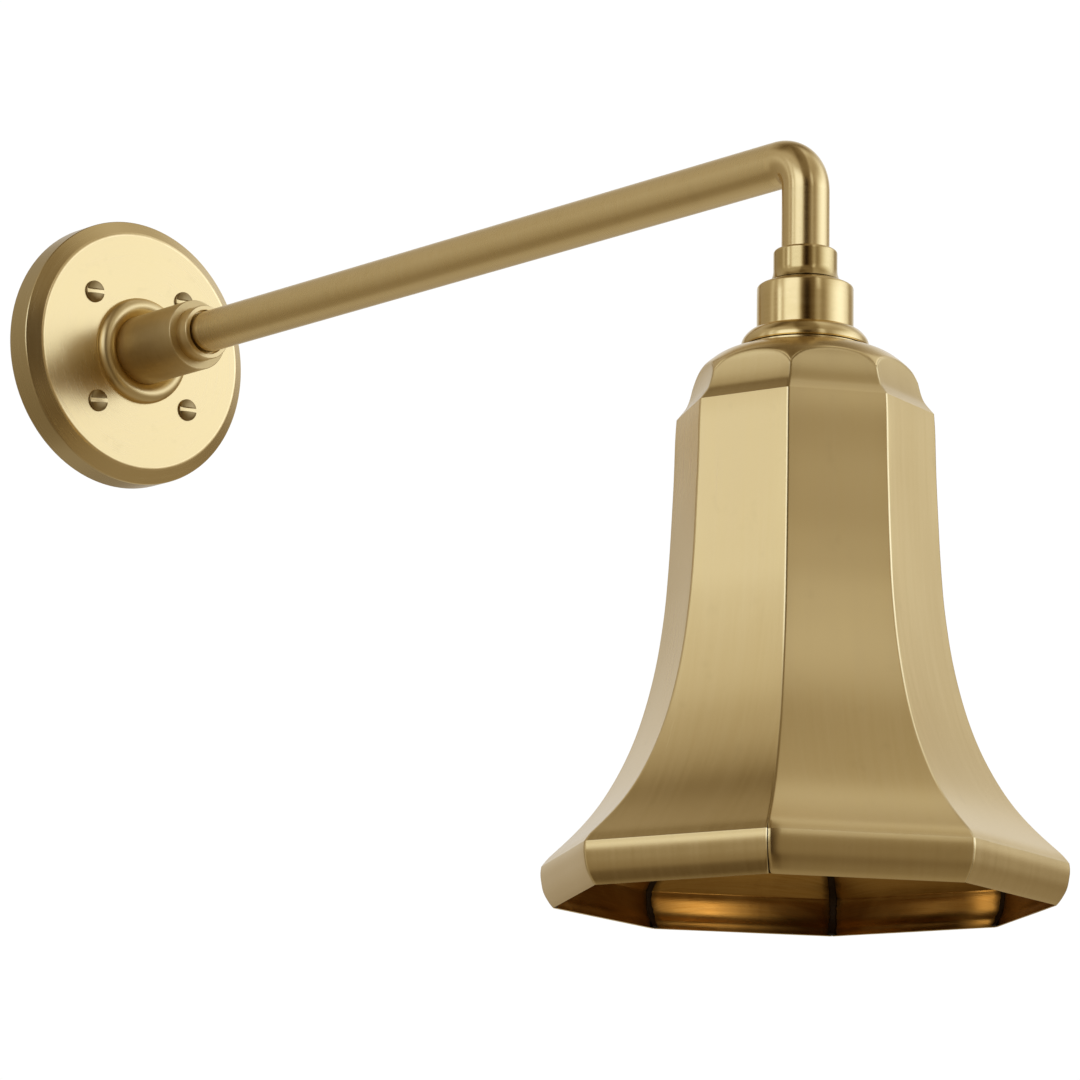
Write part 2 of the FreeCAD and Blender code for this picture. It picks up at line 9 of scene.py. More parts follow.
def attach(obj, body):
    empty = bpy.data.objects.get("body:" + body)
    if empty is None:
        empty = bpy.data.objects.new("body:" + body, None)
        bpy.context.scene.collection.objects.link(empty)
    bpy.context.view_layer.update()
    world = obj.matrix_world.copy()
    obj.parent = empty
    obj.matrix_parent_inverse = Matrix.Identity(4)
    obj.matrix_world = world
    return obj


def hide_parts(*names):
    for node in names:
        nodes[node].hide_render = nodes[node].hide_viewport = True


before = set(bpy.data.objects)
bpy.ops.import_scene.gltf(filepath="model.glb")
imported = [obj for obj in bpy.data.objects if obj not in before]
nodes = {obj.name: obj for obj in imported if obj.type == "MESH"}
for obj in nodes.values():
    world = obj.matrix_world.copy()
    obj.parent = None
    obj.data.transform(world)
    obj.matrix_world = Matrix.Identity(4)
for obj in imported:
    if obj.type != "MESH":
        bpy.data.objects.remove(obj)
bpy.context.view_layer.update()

# Wall sconce, metres, same frame as the CAD: the wall is Y = 0, the room is at -Y,
# the arm runs along -Y at Z = 0, the shade hangs on the vertical line X = 0, Y = -REACH.
MM = 0.001
REACH = 461.3
T8 = math.tan(math.pi / 8)
C8 = math.cos(math.pi / 8)
TURN = 15.23                      # rest angle of the shade, degrees
scene = bpy.context.scene


# ------------------------------------------------------------------ curves
def cubic(pts, n):
    """n + 1 points along a smooth curve through pts, chord-length natural cubic"""
    p = np.array(pts, float)
    t = np.concatenate([[0], np.cumsum(np.linalg.norm(np.diff(p, axis=0), axis=1))])
    m = len(p)
    h = np.diff(t)
    a = np.zeros((m, m))
    r = np.zeros((m, p.shape[1]))
    a[0, 0] = a[-1, -1] = 1
    for i in range(1, m - 1):
        a[i, i - 1], a[i, i], a[i, i + 1] = h[i - 1], 2 * (h[i - 1] + h[i]), h[i]
        r[i] = 6 * ((p[i + 1] - p[i]) / h[i] - (p[i] - p[i - 1]) / h[i - 1])
    k = np.linalg.solve(a, r)
    q = np.linspace(0, t[-1], n + 1)
    j = np.clip(np.searchsorted(t, q, side="right") - 1, 0, m - 2)
    d0, d1 = (t[j + 1] - q)[:, None], (q - t[j])[:, None]
    hj = h[j][:, None]
    return (k[j] * d0 ** 3 + k[j + 1] * d1 ** 3) / (6 * hj) + (p[j] / hj - k[j] * hj / 6) * d0 + (
        p[j + 1] / hj - k[j + 1] * hj / 6) * d1


def soften(items, closed=True, steps=5):
    """(a, b, fillet) corners to a dense outline; returns points and how much of an edge each one is"""
    pts, edge = [], []
    n = len(items)
    for i in range(n):
        p = np.array(items[i][:2], float)
        f = items[i][2] if len(items[i]) > 2 else 0
        if not f or (not closed and i in (0, n - 1)):
            pts.append(p)
            edge.append(0.0)
            continue
        a = np.array(items[i - 1][:2], float) - p
        b = np.array(items[(i + 1) % n][:2], float) - p
        la, lb = np.linalg.norm(a), np.linalg.norm(b)
        a, b = a / la, b / lb
        phi = math.acos(max(-1, min(1, float(a @ b))))
        if phi > math.pi - 0.03:
            pts.append(p)
            edge.append(0.0)
            continue
        t = min(f / math.tan(phi / 2), 0.42 * la, 0.42 * lb)
        r = t * math.tan(phi / 2)
        bis = a + b
        bis /= np.linalg.norm(bis)
        c = p + bis * r / math.sin(phi / 2)
        s, e = p + a * t, p + b * t
        gap = min(0.12, 0.2 * t + 0.05)
        if la > t + 2.2 * gap:
            pts.append(p + a * (t + gap))
            edge.append(0.0)
        v0, v1 = s - c, e - c
        ang = math.atan2(v0[0] * v1[1] - v0[1] * v1[0], v0 @ v1)
        for k in range(steps + 1):
            w = ang * k / steps
            pts.append(c + np.array([v0[0] * math.cos(w) - v0[1] * math.sin(w), v0[0] * math.sin(w) + v0[1] * math.cos(w)]))
            edge.append(1.0 if 0 < k < steps else 0.6)
        if lb > t + 2.2 * gap:
            pts.append(p + b * (t + gap))
            edge.append(0.0)
    return np.array(pts), np.array(edge)


# ------------------------------------------------------------------ meshes
def finish_mesh(name, verts, faces, brush=None, edge=None, uv=None, mats=None, face_mat=None, smooth=True, body=None,
                replaces=(), weld=False, normals=True, crisp=0, painted_shade=None):
    me = bpy.data.meshes.new(name)
    me.from_pydata([tuple(v) for v in verts], [], faces)
    if brush is not None:
        at = me.attributes.new("brush", "FLOAT_VECTOR", "POINT")
        at.data.foreach_set("vector", np.asarray(brush, np.float32).ravel())
    if edge is not None:
        at = me.attributes.new("edge", "FLOAT", "POINT")
        at.data.foreach_set("value", np.asarray(edge, np.float32))
    if painted_shade is not None:
        at = me.attributes.new("painted_shade", "FLOAT", "POINT")
        at.data.foreach_set("value", np.asarray(painted_shade, np.float32))
    if uv is not None:
        lay = me.uv_layers.new(name="brush_dir")
        lay.data.foreach_set("uv", np.asarray(uv, np.float32).ravel())
    for m in mats or []:
        me.materials.append(m)
    if face_mat is not None:
        me.polygons.foreach_set("material_index", face_mat)
    if smooth:
        me.polygons.foreach_set("use_smooth", [True] * len(me.polygons))
    me.validate()
    if weld or normals:
        bm = bmesh.new()
        bm.from_mesh(me)
        if weld:
            bmesh.ops.remove_doubles(bm, verts=bm.verts, dist=1e-6)
            bmesh.ops.dissolve_degenerate(bm, dist=1e-7, edges=bm.edges)
        if normals:
            bmesh.ops.recalc_face_normals(bm, faces=bm.faces)
        bm.to_mesh(me)
        bm.free()
    me.update()
    ob = bpy.data.objects.new(name, me)
    scene.collection.objects.link(ob)
    if crisp:
        me.set_sharp_from_angle(angle=math.radians(crisp))
    if body:
        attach(ob, body)
    if replaces:
        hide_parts(*replaces)
    return ob


def on_wall(r, h, th):
    return np.stack([r * np.cos(th), -h, r * np.sin(th)], -1) * MM


def on_shade(r, h, th):
    return np.stack([r * np.cos(th), -REACH + r * np.sin(th), h], -1) * MM


def lathe(name, items, place, mat, body, replaces=(), n=256, steps=5, grain=2.0, seam=0.0, weld=False, painted_shade_of=None):
    """turned piece: closed outline of (radius, height, fillet) swept round its axis"""
    pts, edge = soften(items, True, steps)
    m = len(pts)
    th = seam + np.linspace(0, 2 * math.pi, n, endpoint=False)
    r = np.repeat(pts[:, 0][:, None], n, 1)
    h = np.repeat(pts[:, 1][:, None], n, 1)
    tt = np.repeat(th[None, :], m, 0)
    v = place(r, h, tt).reshape(-1, 3)
    s = np.concatenate([[0], np.cumsum(np.linalg.norm(np.diff(pts, axis=0), axis=1))])
    brush = np.stack([np.cos(tt) * grain, np.sin(tt) * grain, np.repeat(s[:, None], n, 1)], -1).reshape(-1, 3)
    eg = np.repeat(edge[:, None], n, 1).ravel()
    faces, uv = [], []
    rm = max(1.0, float(pts[:, 0].mean()))
    per = s[-1] + np.linalg.norm(pts[0] - pts[-1])
    for i in range(m):
        i2 = (i + 1) % m
        s0, s1 = s[i], (s[i2] if i2 else per)
        for j in range(n):
            j2 = (j + 1) % n
            faces.append((i * n + j, i * n + j2, i2 * n + j2, i2 * n + j))
            u0, u1 = rm * 2 * math.pi * j / n, rm * 2 * math.pi * (j + 1) / n
            uv += [u0, s0, u1, s0, u1, s1, u0, s1]
    uv = np.array(uv) * 0.01
    # painted shade of each outline point, carried to the mesh as an attribute
    painted_shade = np.repeat(painted_shade_of(pts)[:, None], n, 1).ravel() if painted_shade_of else None
    return finish_mesh(name, v, faces, brush, eg, uv, [mat], body=body, replaces=replaces, weld=weld, crisp=31,
                       painted_shade=painted_shade)


# ------------------------------------------------------------------ materials
def nt(mat):
    mat.use_nodes = True
    t = mat.node_tree
    t.nodes.clear()
    return t


def add(t, kind, **kw):
    n = t.nodes.new(kind)
    for k, v in kw.items():
        setattr(n, k, v)
    return n


def link(t, a, b):
    t.links.new(a, b)


def mathn(t, op, a, b=None, c=None, clamp=False):
    n = add(t, "ShaderNodeMath", operation=op, use_clamp=clamp)
    for i, v in enumerate((a, b, c)):
        if v is None:
            continue
        if isinstance(v, (int, float)):
            n.inputs[i].default_value = v
        else:
            link(t, v, n.inputs[i])
    return n.outputs[0]


def mapr(t, v, a, b, c, d):
    n = add(t, "ShaderNodeMapRange")
    n.clamp = True
    link(t, v, n.inputs[0])
    for i, x in enumerate((a, b, c, d)):
        n.inputs[i + 1].default_value = x
    return n.outputs[0]


def mixc(t, f, a, b, mode="MIX"):
    n = add(t, "ShaderNodeMix", data_type="RGBA", blend_type=mode)
    n.clamp_factor = True
    if isinstance(f, (int, float)):
        n.inputs[0].default_value = f
    else:
        link(t, f, n.inputs[0])
    for i, v in ((6, a), (7, b)):
        if isinstance(v, (tuple, list)):
            n.inputs[i].default_value = (*v[:3], 1)
        else:
            link(t, v, n.inputs[i])
    return n.outputs[2]


def noise(t, vec, scale, detail=2.0, rough=0.5, dist=0.0):
    n = add(t, "ShaderNodeTexNoise")
    n.noise_dimensions = "3D"
    n.inputs["Scale"].default_value = scale
    n.inputs["Detail"].default_value = detail
    n.inputs["Roughness"].default_value = rough
    n.inputs["Distortion"].default_value = dist
    if vec is not None:
        link(t, vec, n.inputs["Vector"])
    return n.outputs["Fac"]


def stretch(t, vec, k):
    n = add(t, "ShaderNodeMapping")
    n.inputs["Scale"].default_value = k
    link(t, vec, n.inputs["Vector"])
    return n.outputs[0]


def metal(name, dark, light, rough=0.3, aniso=0.6, rot=0.25, fine=(1, 1, 3.2), coarse=(1, 1, 0.55), bump=0.12,
          blotch=26.0, coat=0.12, spread=0.07, edge_light=None, lines=0.5, source="brush"):
    """brushed metal: fine and coarse brush lines, slow tarnish, edges lightened partly by wear and partly as a painted
    edge highlight, and painted shade from a mesh attribute
    """
    m = bpy.data.materials.new(name)
    t = nt(m)
    out = add(t, "ShaderNodeOutputMaterial")
    b = add(t, "ShaderNodeBsdfPrincipled")
    b.inputs["Metallic"].default_value = 1.0
    b.inputs["Anisotropic"].default_value = aniso
    b.inputs["Anisotropic Rotation"].default_value = rot
    b.inputs["Coat Weight"].default_value = coat
    b.inputs["Coat Roughness"].default_value = 0.32
    link(t, b.outputs[0], out.inputs[0])
    co = add(t, "ShaderNodeTexCoord")
    if source == "brush":
        at = add(t, "ShaderNodeAttribute", attribute_name="brush")
        vec = at.outputs["Vector"]
        tan = add(t, "ShaderNodeTangent", direction_type="UV_MAP", uv_map="brush_dir")
        if aniso > 0:
            link(t, tan.outputs[0], b.inputs["Tangent"])
    else:
        vec = stretch(t, co.outputs["Object"], (1000, 1000, 1000))
    n1 = noise(t, stretch(t, vec, fine), 1.0, 3.0, 0.65)
    n2 = noise(t, stretch(t, vec, coarse), 1.0, 2.0, 0.55)
    n3 = noise(t, co.outputs["Object"], blotch, 3.0, 0.55, 0.3)
    n4 = noise(t, co.outputs["Object"], blotch * 7, 2.0, 0.6)
    lin = mathn(t, "ADD", mathn(t, "MULTIPLY", n1, lines), mathn(t, "MULTIPLY", n2, 1 - lines))
    mixf = mathn(t, "ADD", mathn(t, "MULTIPLY", lin, 0.55), mathn(t, "MULTIPLY", n3, 0.45))
    colour = mixc(t, mapr(t, mixf, 0.3, 0.7, 0, 1), dark, light)
    colour = mixc(t, mapr(t, n4, 0.62, 0.82, 0, 0.16), colour, tuple(0.72 * x for x in dark))
    # edges lighter: partly wear, partly a painted edge highlight; wear also makes them a little smoother
    eg = add(t, "ShaderNodeAttribute", attribute_name="edge")
    wear_and_highlight = mathn(t, "MULTIPLY", eg.outputs["Fac"], mapr(t, n4, 0.3, 0.6, 0.35, 1.0))
    el = edge_light or tuple(min(1, 1.1 * x + 0.04) for x in light)
    colour = mixc(t, mathn(t, "MULTIPLY", wear_and_highlight, 0.75), colour, el)
    # painted shade: a mesh attribute darkens the colour towards half the dark brass
    painted_shade_attr = add(t, "ShaderNodeAttribute", attribute_name="painted_shade")
    colour = mixc(t, painted_shade_attr.outputs["Fac"], colour, tuple(0.5 * x for x in dark))
    link(t, colour, b.inputs["Base Color"])
    ro = mathn(t, "ADD", mathn(t, "MULTIPLY", mathn(t, "SUBTRACT", lin, 0.5), spread * 2), rough)
    ro = mathn(t, "ADD", ro, mathn(t, "MULTIPLY", mathn(t, "SUBTRACT", n3, 0.5), spread * 1.4))
    ro = mathn(t, "SUBTRACT", ro, mathn(t, "MULTIPLY", wear_and_highlight, 0.06))
    link(t, ro, b.inputs["Roughness"])
    bp = add(t, "ShaderNodeBump")
    bp.inputs["Strength"].default_value = bump
    bp.inputs["Distance"].default_value = 0.00006
    link(t, lin, bp.inputs["Height"])
    link(t, bp.outputs[0], b.inputs["Normal"])
    return m


def plain(name, dark, light, rough, metallic=0.0, bump=0.15, scale=160.0, coat=0.0, sheen=0.0, wave=None):
    """moulded, glazed or plated surface with mottling and small pits"""
    m = bpy.data.materials.new(name)
    t = nt(m)
    out = add(t, "ShaderNodeOutputMaterial")
    b = add(t, "ShaderNodeBsdfPrincipled")
    b.inputs["Metallic"].default_value = metallic
    b.inputs["Coat Weight"].default_value = coat
    b.inputs["Coat Roughness"].default_value = 0.08
    link(t, b.outputs[0], out.inputs[0])
    co = add(t, "ShaderNodeTexCoord")
    n1 = noise(t, co.outputs["Object"], scale, 4.0, 0.6, 0.2)
    n2 = noise(t, co.outputs["Object"], scale * 9, 3.0, 0.6)
    f = mathn(t, "ADD", mathn(t, "MULTIPLY", n1, 0.65), mathn(t, "MULTIPLY", n2, 0.35))
    link(t, mixc(t, mapr(t, f, 0.32, 0.68, 0, 1), dark, light), b.inputs["Base Color"])
    link(t, mapr(t, n1, 0.3, 0.7, max(0.02, rough - 0.07), rough + 0.07), b.inputs["Roughness"])
    bp = add(t, "ShaderNodeBump")
    bp.inputs["Strength"].default_value = bump
    bp.inputs["Distance"].default_value = 0.00005
    link(t, n2, bp.inputs["Height"])
    link(t, bp.outputs[0], b.inputs["Normal"])
    return m


BR_D, BR_L = (0.76, 0.585, 0.27), (0.84, 0.665, 0.34)
M_PLATE = metal("plate_brass", BR_D, BR_L, rough=0.26, aniso=0.2, blotch=20, bump=0.08)
M_TURN = metal("turned_brass", BR_D, BR_L, rough=0.20, aniso=0.4, bump=0.14)
# painted shade: the hub barrel gets a darker copy of the turned brass
M_HUB_PAINTED_SHADE = metal("hub_brass_painted_shade", (0.64, 0.485, 0.215), (0.73, 0.57, 0.28), rough=0.44, aniso=0.2, bump=0.12, blotch=60,
              spread=0.05)
M_BEAD = metal("bead_brass", BR_D, BR_L, rough=0.33, aniso=0.2, bump=0.12, blotch=60)
M_NOSE = metal("nose_brass", BR_D, BR_L, rough=0.36, aniso=0.2, bump=0.12, blotch=60, spread=0.05)
M_DROP = metal("drop_brass", BR_D, BR_L, rough=0.24, aniso=0.3, bump=0.06, blotch=40)
# painted shade: cup, skirt and collar get darker copies of the turned brass, the collar darkest
M_CUP_PAINTED_SHADE = metal("cup_brass_painted_shade", (0.72, 0.55, 0.245), (0.82, 0.645, 0.32), rough=0.16, aniso=0.3, bump=0.14, blotch=40)
M_COLLAR_PAINTED_SHADE = metal("collar_brass_painted_shade", (0.60, 0.45, 0.185), (0.70, 0.54, 0.25), rough=0.15, aniso=0.3, bump=0.14, blotch=40)
M_ARM = metal("arm_brass", BR_D, BR_L, rough=0.28, aniso=0.2, bump=0.10, blotch=14)
M_BEND = metal("elbow_brass", BR_D, BR_L, rough=0.20, aniso=0.3, bump=0.08, blotch=40)
M_SHADE = metal("shade_brass", BR_D, BR_L, rough=0.25, aniso=0.3, fine=(2.6, 0.05, 1), coarse=(0.45, 0.012, 1),
                bump=0.05, blotch=13, edge_light=(0.88, 0.76, 0.47), lines=0.35, spread=0.05)
M_SCREW = metal("screw_brass", (0.30, 0.22, 0.095), (0.46, 0.34, 0.155), rough=0.36, aniso=0.2, bump=0.1, blotch=220,
                edge_light=(0.55, 0.42, 0.22), source="object", fine=(2, 2, 2), coarse=(0.5, 0.5, 0.5))
M_SLOT = metal("slot_brass", BR_D, BR_L, rough=0.24, aniso=0.0, bump=0.08, blotch=200,
               source="object", fine=(2, 2, 2), coarse=(0.5, 0.5, 0.5))
M_PLAIN = metal("rolled_brass", (0.62, 0.45, 0.17), (0.78, 0.60, 0.27), rough=0.26, aniso=0.0, bump=0.08, blotch=90,
                source="object", fine=(1.5, 1.5, 1.5), coarse=(0.3, 0.3, 0.3))
M_STEEL = metal("zinc_steel", (0.46, 0.46, 0.44), (0.63, 0.63, 0.60), rough=0.34, aniso=0.0, bump=0.12, blotch=120,
                source="object", fine=(1.2, 1.2, 1.2), coarse=(0.25, 0.25, 0.25), coat=0.0)
M_PORC = plain("glazed_porcelain", (0.80, 0.79, 0.75), (0.88, 0.87, 0.84), 0.22, coat=0.6, scale=60)
M_RING = plain("ring_plastic", (0.045, 0.032, 0.024), (0.085, 0.062, 0.045), 0.42, scale=120)
M_FIBRE = plain("fibre", (0.14, 0.07, 0.035), (0.26, 0.14, 0.075), 0.62, scale=300, bump=0.4)
M_BLACK = plain("wire_black", (0.012, 0.012, 0.012), (0.03, 0.03, 0.03), 0.45, scale=90)
M_WHITE = plain("wire_white", (0.62, 0.62, 0.60), (0.74, 0.74, 0.71), 0.45, scale=90)
M_GREEN = plain("wire_green", (0.02, 0.15, 0.04), (0.035, 0.24, 0.07), 0.45, scale=90)
M_NUT = plain("connector_plastic", (0.42, 0.12, 0.012), (0.56, 0.19, 0.03), 0.40, scale=140)
M_SOLDER = plain("solder_stain", (0.016, 0.009, 0.004), (0.050, 0.028, 0.011), 0.55, metallic=0.7, scale=420, bump=0.8)


def inside_metal_painted_shade():
    """inside of the shade: painted shade, a darker and more copper-coloured copy of the brass, darker still towards the
    soldered corners
    """
    m = bpy.data.materials.new("bell_inside_painted_shade")
    t = nt(m)
    out = add(t, "ShaderNodeOutputMaterial")
    b = add(t, "ShaderNodeBsdfPrincipled")
    b.inputs["Metallic"].default_value = 1.0
    b.inputs["Anisotropic"].default_value = 0.3
    link(t, b.outputs[0], out.inputs[0])
    at = add(t, "ShaderNodeAttribute", attribute_name="brush")
    co = add(t, "ShaderNodeTexCoord")
    n1 = noise(t, stretch(t, at.outputs["Vector"], (0.06, 1.6, 1)), 1.0, 3.0, 0.6)
    n2 = noise(t, co.outputs["Object"], 34.0, 4.0, 0.6, 0.6)
    n3 = noise(t, co.outputs["Object"], 190.0, 4.0, 0.65, 0.4)
    eg = add(t, "ShaderNodeAttribute", attribute_name="corner")
    # painted shade: darker, more copper copy of the outside brass
    c = mixc(t, mapr(t, n2, 0.32, 0.68, 0, 1), (0.33, 0.165, 0.030), (0.50, 0.285, 0.066))
    c = mixc(t, mapr(t, n1, 0.35, 0.7, 0, 0.35), c, (0.56, 0.36, 0.11))
    stain = mathn(t, "ADD", eg.outputs["Fac"], mathn(t, "MULTIPLY", mathn(t, "SUBTRACT", n3, 0.5), 0.55))
    c = mixc(t, mapr(t, stain, 0.50, 0.95, 0, 0.95), c, (0.030, 0.016, 0.005))
    link(t, c, b.inputs["Base Color"])
    link(t, mathn(t, "ADD", mapr(t, n2, 0.3, 0.7, 0.27, 0.40), mapr(t, stain, 0.6, 0.95, 0, 0.25)), b.inputs["Roughness"])
    bp = add(t, "ShaderNodeBump")
    bp.inputs["Strength"].default_value = 0.25
    bp.inputs["Distance"].default_value = 0.00008
    link(t, mathn(t, "ADD", n1, mathn(t, "MULTIPLY", n3, 0.5)), bp.inputs["Height"])
    link(t, bp.outputs[0], b.inputs["Normal"])
    return m


M_INSIDE_PAINTED_SHADE = inside_metal_painted_shade()

# ------------------------------------------------------------------ wall plate and screws
F = "fixture"
# painted shade: the outer side of the rim is darkened in colour
lathe("plate_shell", [(61.5, 0.0, 0.12), (63.5, 0.0, 0.25), (63.5, 12.5, 1.0), (56.75, 17.1, 3.0), (30, 17.1), (22, 17.1),
                      (6.6, 17.1, 0.1), (6.6, 15.1, 0.1), (30, 15.1), (56.0, 15.1, 0.4), (61.5, 11.6, 0.4)],
      on_wall, M_PLATE, F, ["wall_plate"], n=320, steps=9, seam=-0.5,
      painted_shade_of=lambda q: np.clip((q[:, 0] - 63.1) / 0.35, 0, 1) * 0.55)


def boolean(ob, cutter):
    md = ob.modifiers.new("cut", "BOOLEAN")
    md.operation, md.object, md.solver = "DIFFERENCE", cutter, "EXACT"
    bv = ob.modifiers.new("soft", "BEVEL")
    bv.width, bv.segments, bv.limit_method, bv.angle_limit = 0.00013, 2, "ANGLE", math.radians(40)
    bpy.context.view_layer.update()
    ev = ob.evaluated_get(bpy.context.evaluated_depsgraph_get())
    me = bpy.data.meshes.new_from_object(ev)
    ob.modifiers.clear()
    ob.data = me
    me.polygons.foreach_set("use_smooth", [True] * len(me.polygons))
    me.set_sharp_from_angle(angle=math.radians(32))
    bpy.data.objects.remove(cutter)


screw_turn = [4.0, 5.0, 7.0, 3.5]
for k in range(4):
    a = math.radians(45 + 90 * k + 4.8)
    cx, cz = 37.0 * math.cos(a), 37.0 * math.sin(a)

    def place(r, h, th, cx=cx, cz=cz):
        return np.stack([cx + r * np.cos(th), -h, cz + r * np.sin(th)], -1) * MM

    dome = [(5.2 * math.sin(u), 17.6 + 1.8 * math.cos(u)) for u in np.linspace(0, math.pi / 2, 14)]
    prof = [(0.0, 6.8), (2.0, 6.8, 0.1), (2.0, 17.12), (5.05, 17.12, 0.08), (5.2, 17.3)] + [
        (r, h) for r, h in dome[::-1]]
    ob = lathe("cover_screw_%d" % (k + 1), prof, place, M_SCREW, F, ["cover_screws"], n=64, weld=True)
    w, d = 1.0 * MM, 1.2 * MM
    ang = math.radians(screw_turn[k])
    bm = bmesh.new()
    ex, ez = Vector((math.cos(ang), 0, math.sin(ang))), Vector((-math.sin(ang), 0, math.cos(ang)))
    c0 = Vector((cx * MM, -19.4 * MM, cz * MM))
    vs = [bm.verts.new(c0 + ex * sx * 7 * MM + ez * sz * w + Vector((0, dy, 0)))
          for dy in (-2 * MM, d) for sx in (-1, 1) for sz in (-1, 1)]
    for f in ((0, 1, 3, 2), (4, 6, 7, 5), (0, 4, 5, 1), (2, 3, 7, 6), (0, 2, 6, 4), (1, 5, 7, 3)):
        bm.faces.new([vs[i] for i in f])
    bmesh.ops.recalc_face_normals(bm, faces=bm.faces)
    cm = bpy.data.meshes.new("slot")
    bm.to_mesh(cm)
    bm.free()
    cut = bpy.data.objects.new("slot", cm)
    scene.collection.objects.link(cut)
    boolean(ob, cut)
    ob.data.materials.append(M_SLOT)
    for f in ob.data.polygons:
        q = f.center - c0
        if abs(q.dot(ez)) < w * 1.02 and q.y > 0.8 * MM and math.hypot(f.center.x - cx * MM, f.center.z - cz * MM) < 4.9 * MM:
            f.material_index = 1

# ------------------------------------------------------------------ hub
arc = [(21.13 + 4.27 * math.cos(u), 17.736 + 4.27 * math.sin(u)) for u in np.linspace(-0.03, math.pi - 0.78, 28)]
lathe("bead", [(16.5, 17.11, 0.05), (25.3, 17.11, 0.08)] + arc + [(17.0, 19.9, 0.3), (16.5, 19.5, 0.1)],
      on_wall, M_BEAD, F, ["hub_bead"], n=224)
lathe("barrel", [(6.4, 17.11), (16.45, 17.11, 0.1), (16.45, 61.3, 0.45), (12.0, 61.3, 0.1), (12.0, 55.3), (9.6, 55.3),
                 (9.6, 34.0), (6.4, 34.0)], on_wall, M_HUB_PAINTED_SHADE, F, ["hub_barrel"], n=224)
lathe("nose", [(9.6, 55.4), (11.95, 55.4, 0.1), (11.95, 61.34, 0.1), (12.7, 61.34, 0.3), (12.7, 68.8, 0.5),
               (10.4, 68.8, 0.25), (10.4, 65.3), (9.6, 65.3)], on_wall, M_NOSE, F, ["hub_nose"], n=192)

# ------------------------------------------------------------------ arm, elbow, drop
lathe("arm", [(8.05, 34.05), (9.55, 34.05, 0.1)] + [(9.55, d) for d in np.linspace(60, 440, 20)] + [
    (9.55, 446.9), (8.05, 446.9)] + [(8.05, d) for d in np.linspace(440, 60, 20)],
    on_wall, M_ARM, F, ["arm_tube"], n=160, grain=1.2)

BEND, HEEL, TR = 14.4, 2.0, 9.55
HC = TR + HEEL


def elbow_mesh():
    secs = []

    def sec(d0, h0, d1, h1):
        secs.append((np.array([(d0 + d1) / 2, (h0 + h1) / 2]), np.array([d1 - d0, h1 - h0]) / 2))

    sec(BEND, TR, BEND, -TR)
    for k in range(1, 5):
        d = BEND + (HC - BEND) * k / 4
        sec(d, TR, d, BEND - math.sqrt((BEND + TR) ** 2 - (d - BEND) ** 2))
    steps = 44
    for k in range(1, steps):
        th = math.pi / 2 * k / steps
        dx, dz = -math.sin(th), -math.cos(th)
        o = HC - BEND
        b = o * dx + o * dz
        s = -b + math.sqrt(b * b - (2 * o * o - (BEND + TR) ** 2))
        sec(HC + HEEL * dx, HC + HEEL * dz, HC + s * dx, HC + s * dz)
    for k in range(5):
        h = HC + (BEND - HC) * k / 4
        sec(TR, h, BEND - math.sqrt((BEND + TR) ** 2 - (h - BEND) ** 2), h)
    n = 160
    th = np.linspace(0, 2 * math.pi, n, endpoint=False)
    rings, brush, run = [], [], 0.0
    prev = None

    def ring(c, u, rx):
        d = c[0] + u[0] * np.cos(th)
        h = c[1] + u[1] * np.cos(th)
        return np.stack([rx * np.sin(th), -REACH + d, -h], -1) * MM

    for c, u in secs:
        if prev is not None:
            run += np.linalg.norm(c - prev)
        prev = c
        rings.append(ring(c, u, TR))
        brush.append(np.stack([np.cos(th) * 2, np.sin(th) * 2, np.full(n, run)], -1))
    # hollow inside: bore follows the bend
    inner = [(np.array([BEND, 0.0]), np.array([0.0, -1.0]))]
    for k in range(0, 17):
        t = math.pi / 2 * k / 16
        inner.append((np.array([BEND - BEND * math.sin(t), BEND - BEND * math.cos(t)]),
                      np.array([-math.sin(t), -math.cos(t)])))
    for c, u in inner[::-1]:
        rings.append(ring(c, u * 5.0, 5.0))
        brush.append(np.stack([np.cos(th) * 2, np.sin(th) * 2, np.full(n, run)], -1))
    v = np.concatenate(rings)
    br = np.concatenate(brush)
    m = len(rings)
    faces, uv = [], []
    for i in range(m):
        i2 = (i + 1) % m
        for j in range(n):
            j2 = (j + 1) % n
            faces.append((i * n + j, i * n + j2, i2 * n + j2, i2 * n + j))
            uv += [j / n, i / m, (j + 1) / n, i / m, (j + 1) / n, (i + 1) / m, j / n, (i + 1) / m]
    return finish_mesh("bend", v, faces, br, np.zeros(len(v)), np.array(uv), [M_BEND], body=F,
                       replaces=["elbow"], crisp=40)


elbow_mesh()
lathe("drop", [(8.05, -49.0), (9.55, -49.0), (9.55, -44.0), (9.55, -36.0), (9.55, -26.0), (9.55, -14.4), (8.05, -14.4)],
      on_shade, M_DROP, F, ["drop_tube"], n=160)

# ------------------------------------------------------------------ collar, cup, skirt
lathe("collar", [(9.62, -38.8, 0.08), (12.72, -38.8, 1.9), (12.72, -46.9)] +
      [(12.72 + 1.3 * u ** 2.2, -46.9 - 4.5 * u) for u in np.linspace(0.08, 0.99, 16)] +
      [(13.95, -51.5), (5.2, -51.5), (5.2, -49.0), (9.62, -49.0)],
      on_shade, M_COLLAR_PAINTED_SHADE, F, ["stem_coupling"], n=192, steps=9)
lathe("cup", [(5.2, -51.52), (13.72, -51.52), (18.15, -53.5, 0.0), (18.55, -53.72), (18.88, -54.0), (19.1, -54.38),
              (19.2, -54.85), (19.2, -60), (19.2, -66), (19.2, -72), (19.2, -78.8, 0.2), (17.9, -78.8, 0.2), (17.9, -55.5, 0.4),
              (17.0, -54.7, 0.4), (13.4, -53.1, 0.3), (5.2, -53.1)],
      on_shade, M_CUP_PAINTED_SHADE, F, ["socket_cup"], n=256)
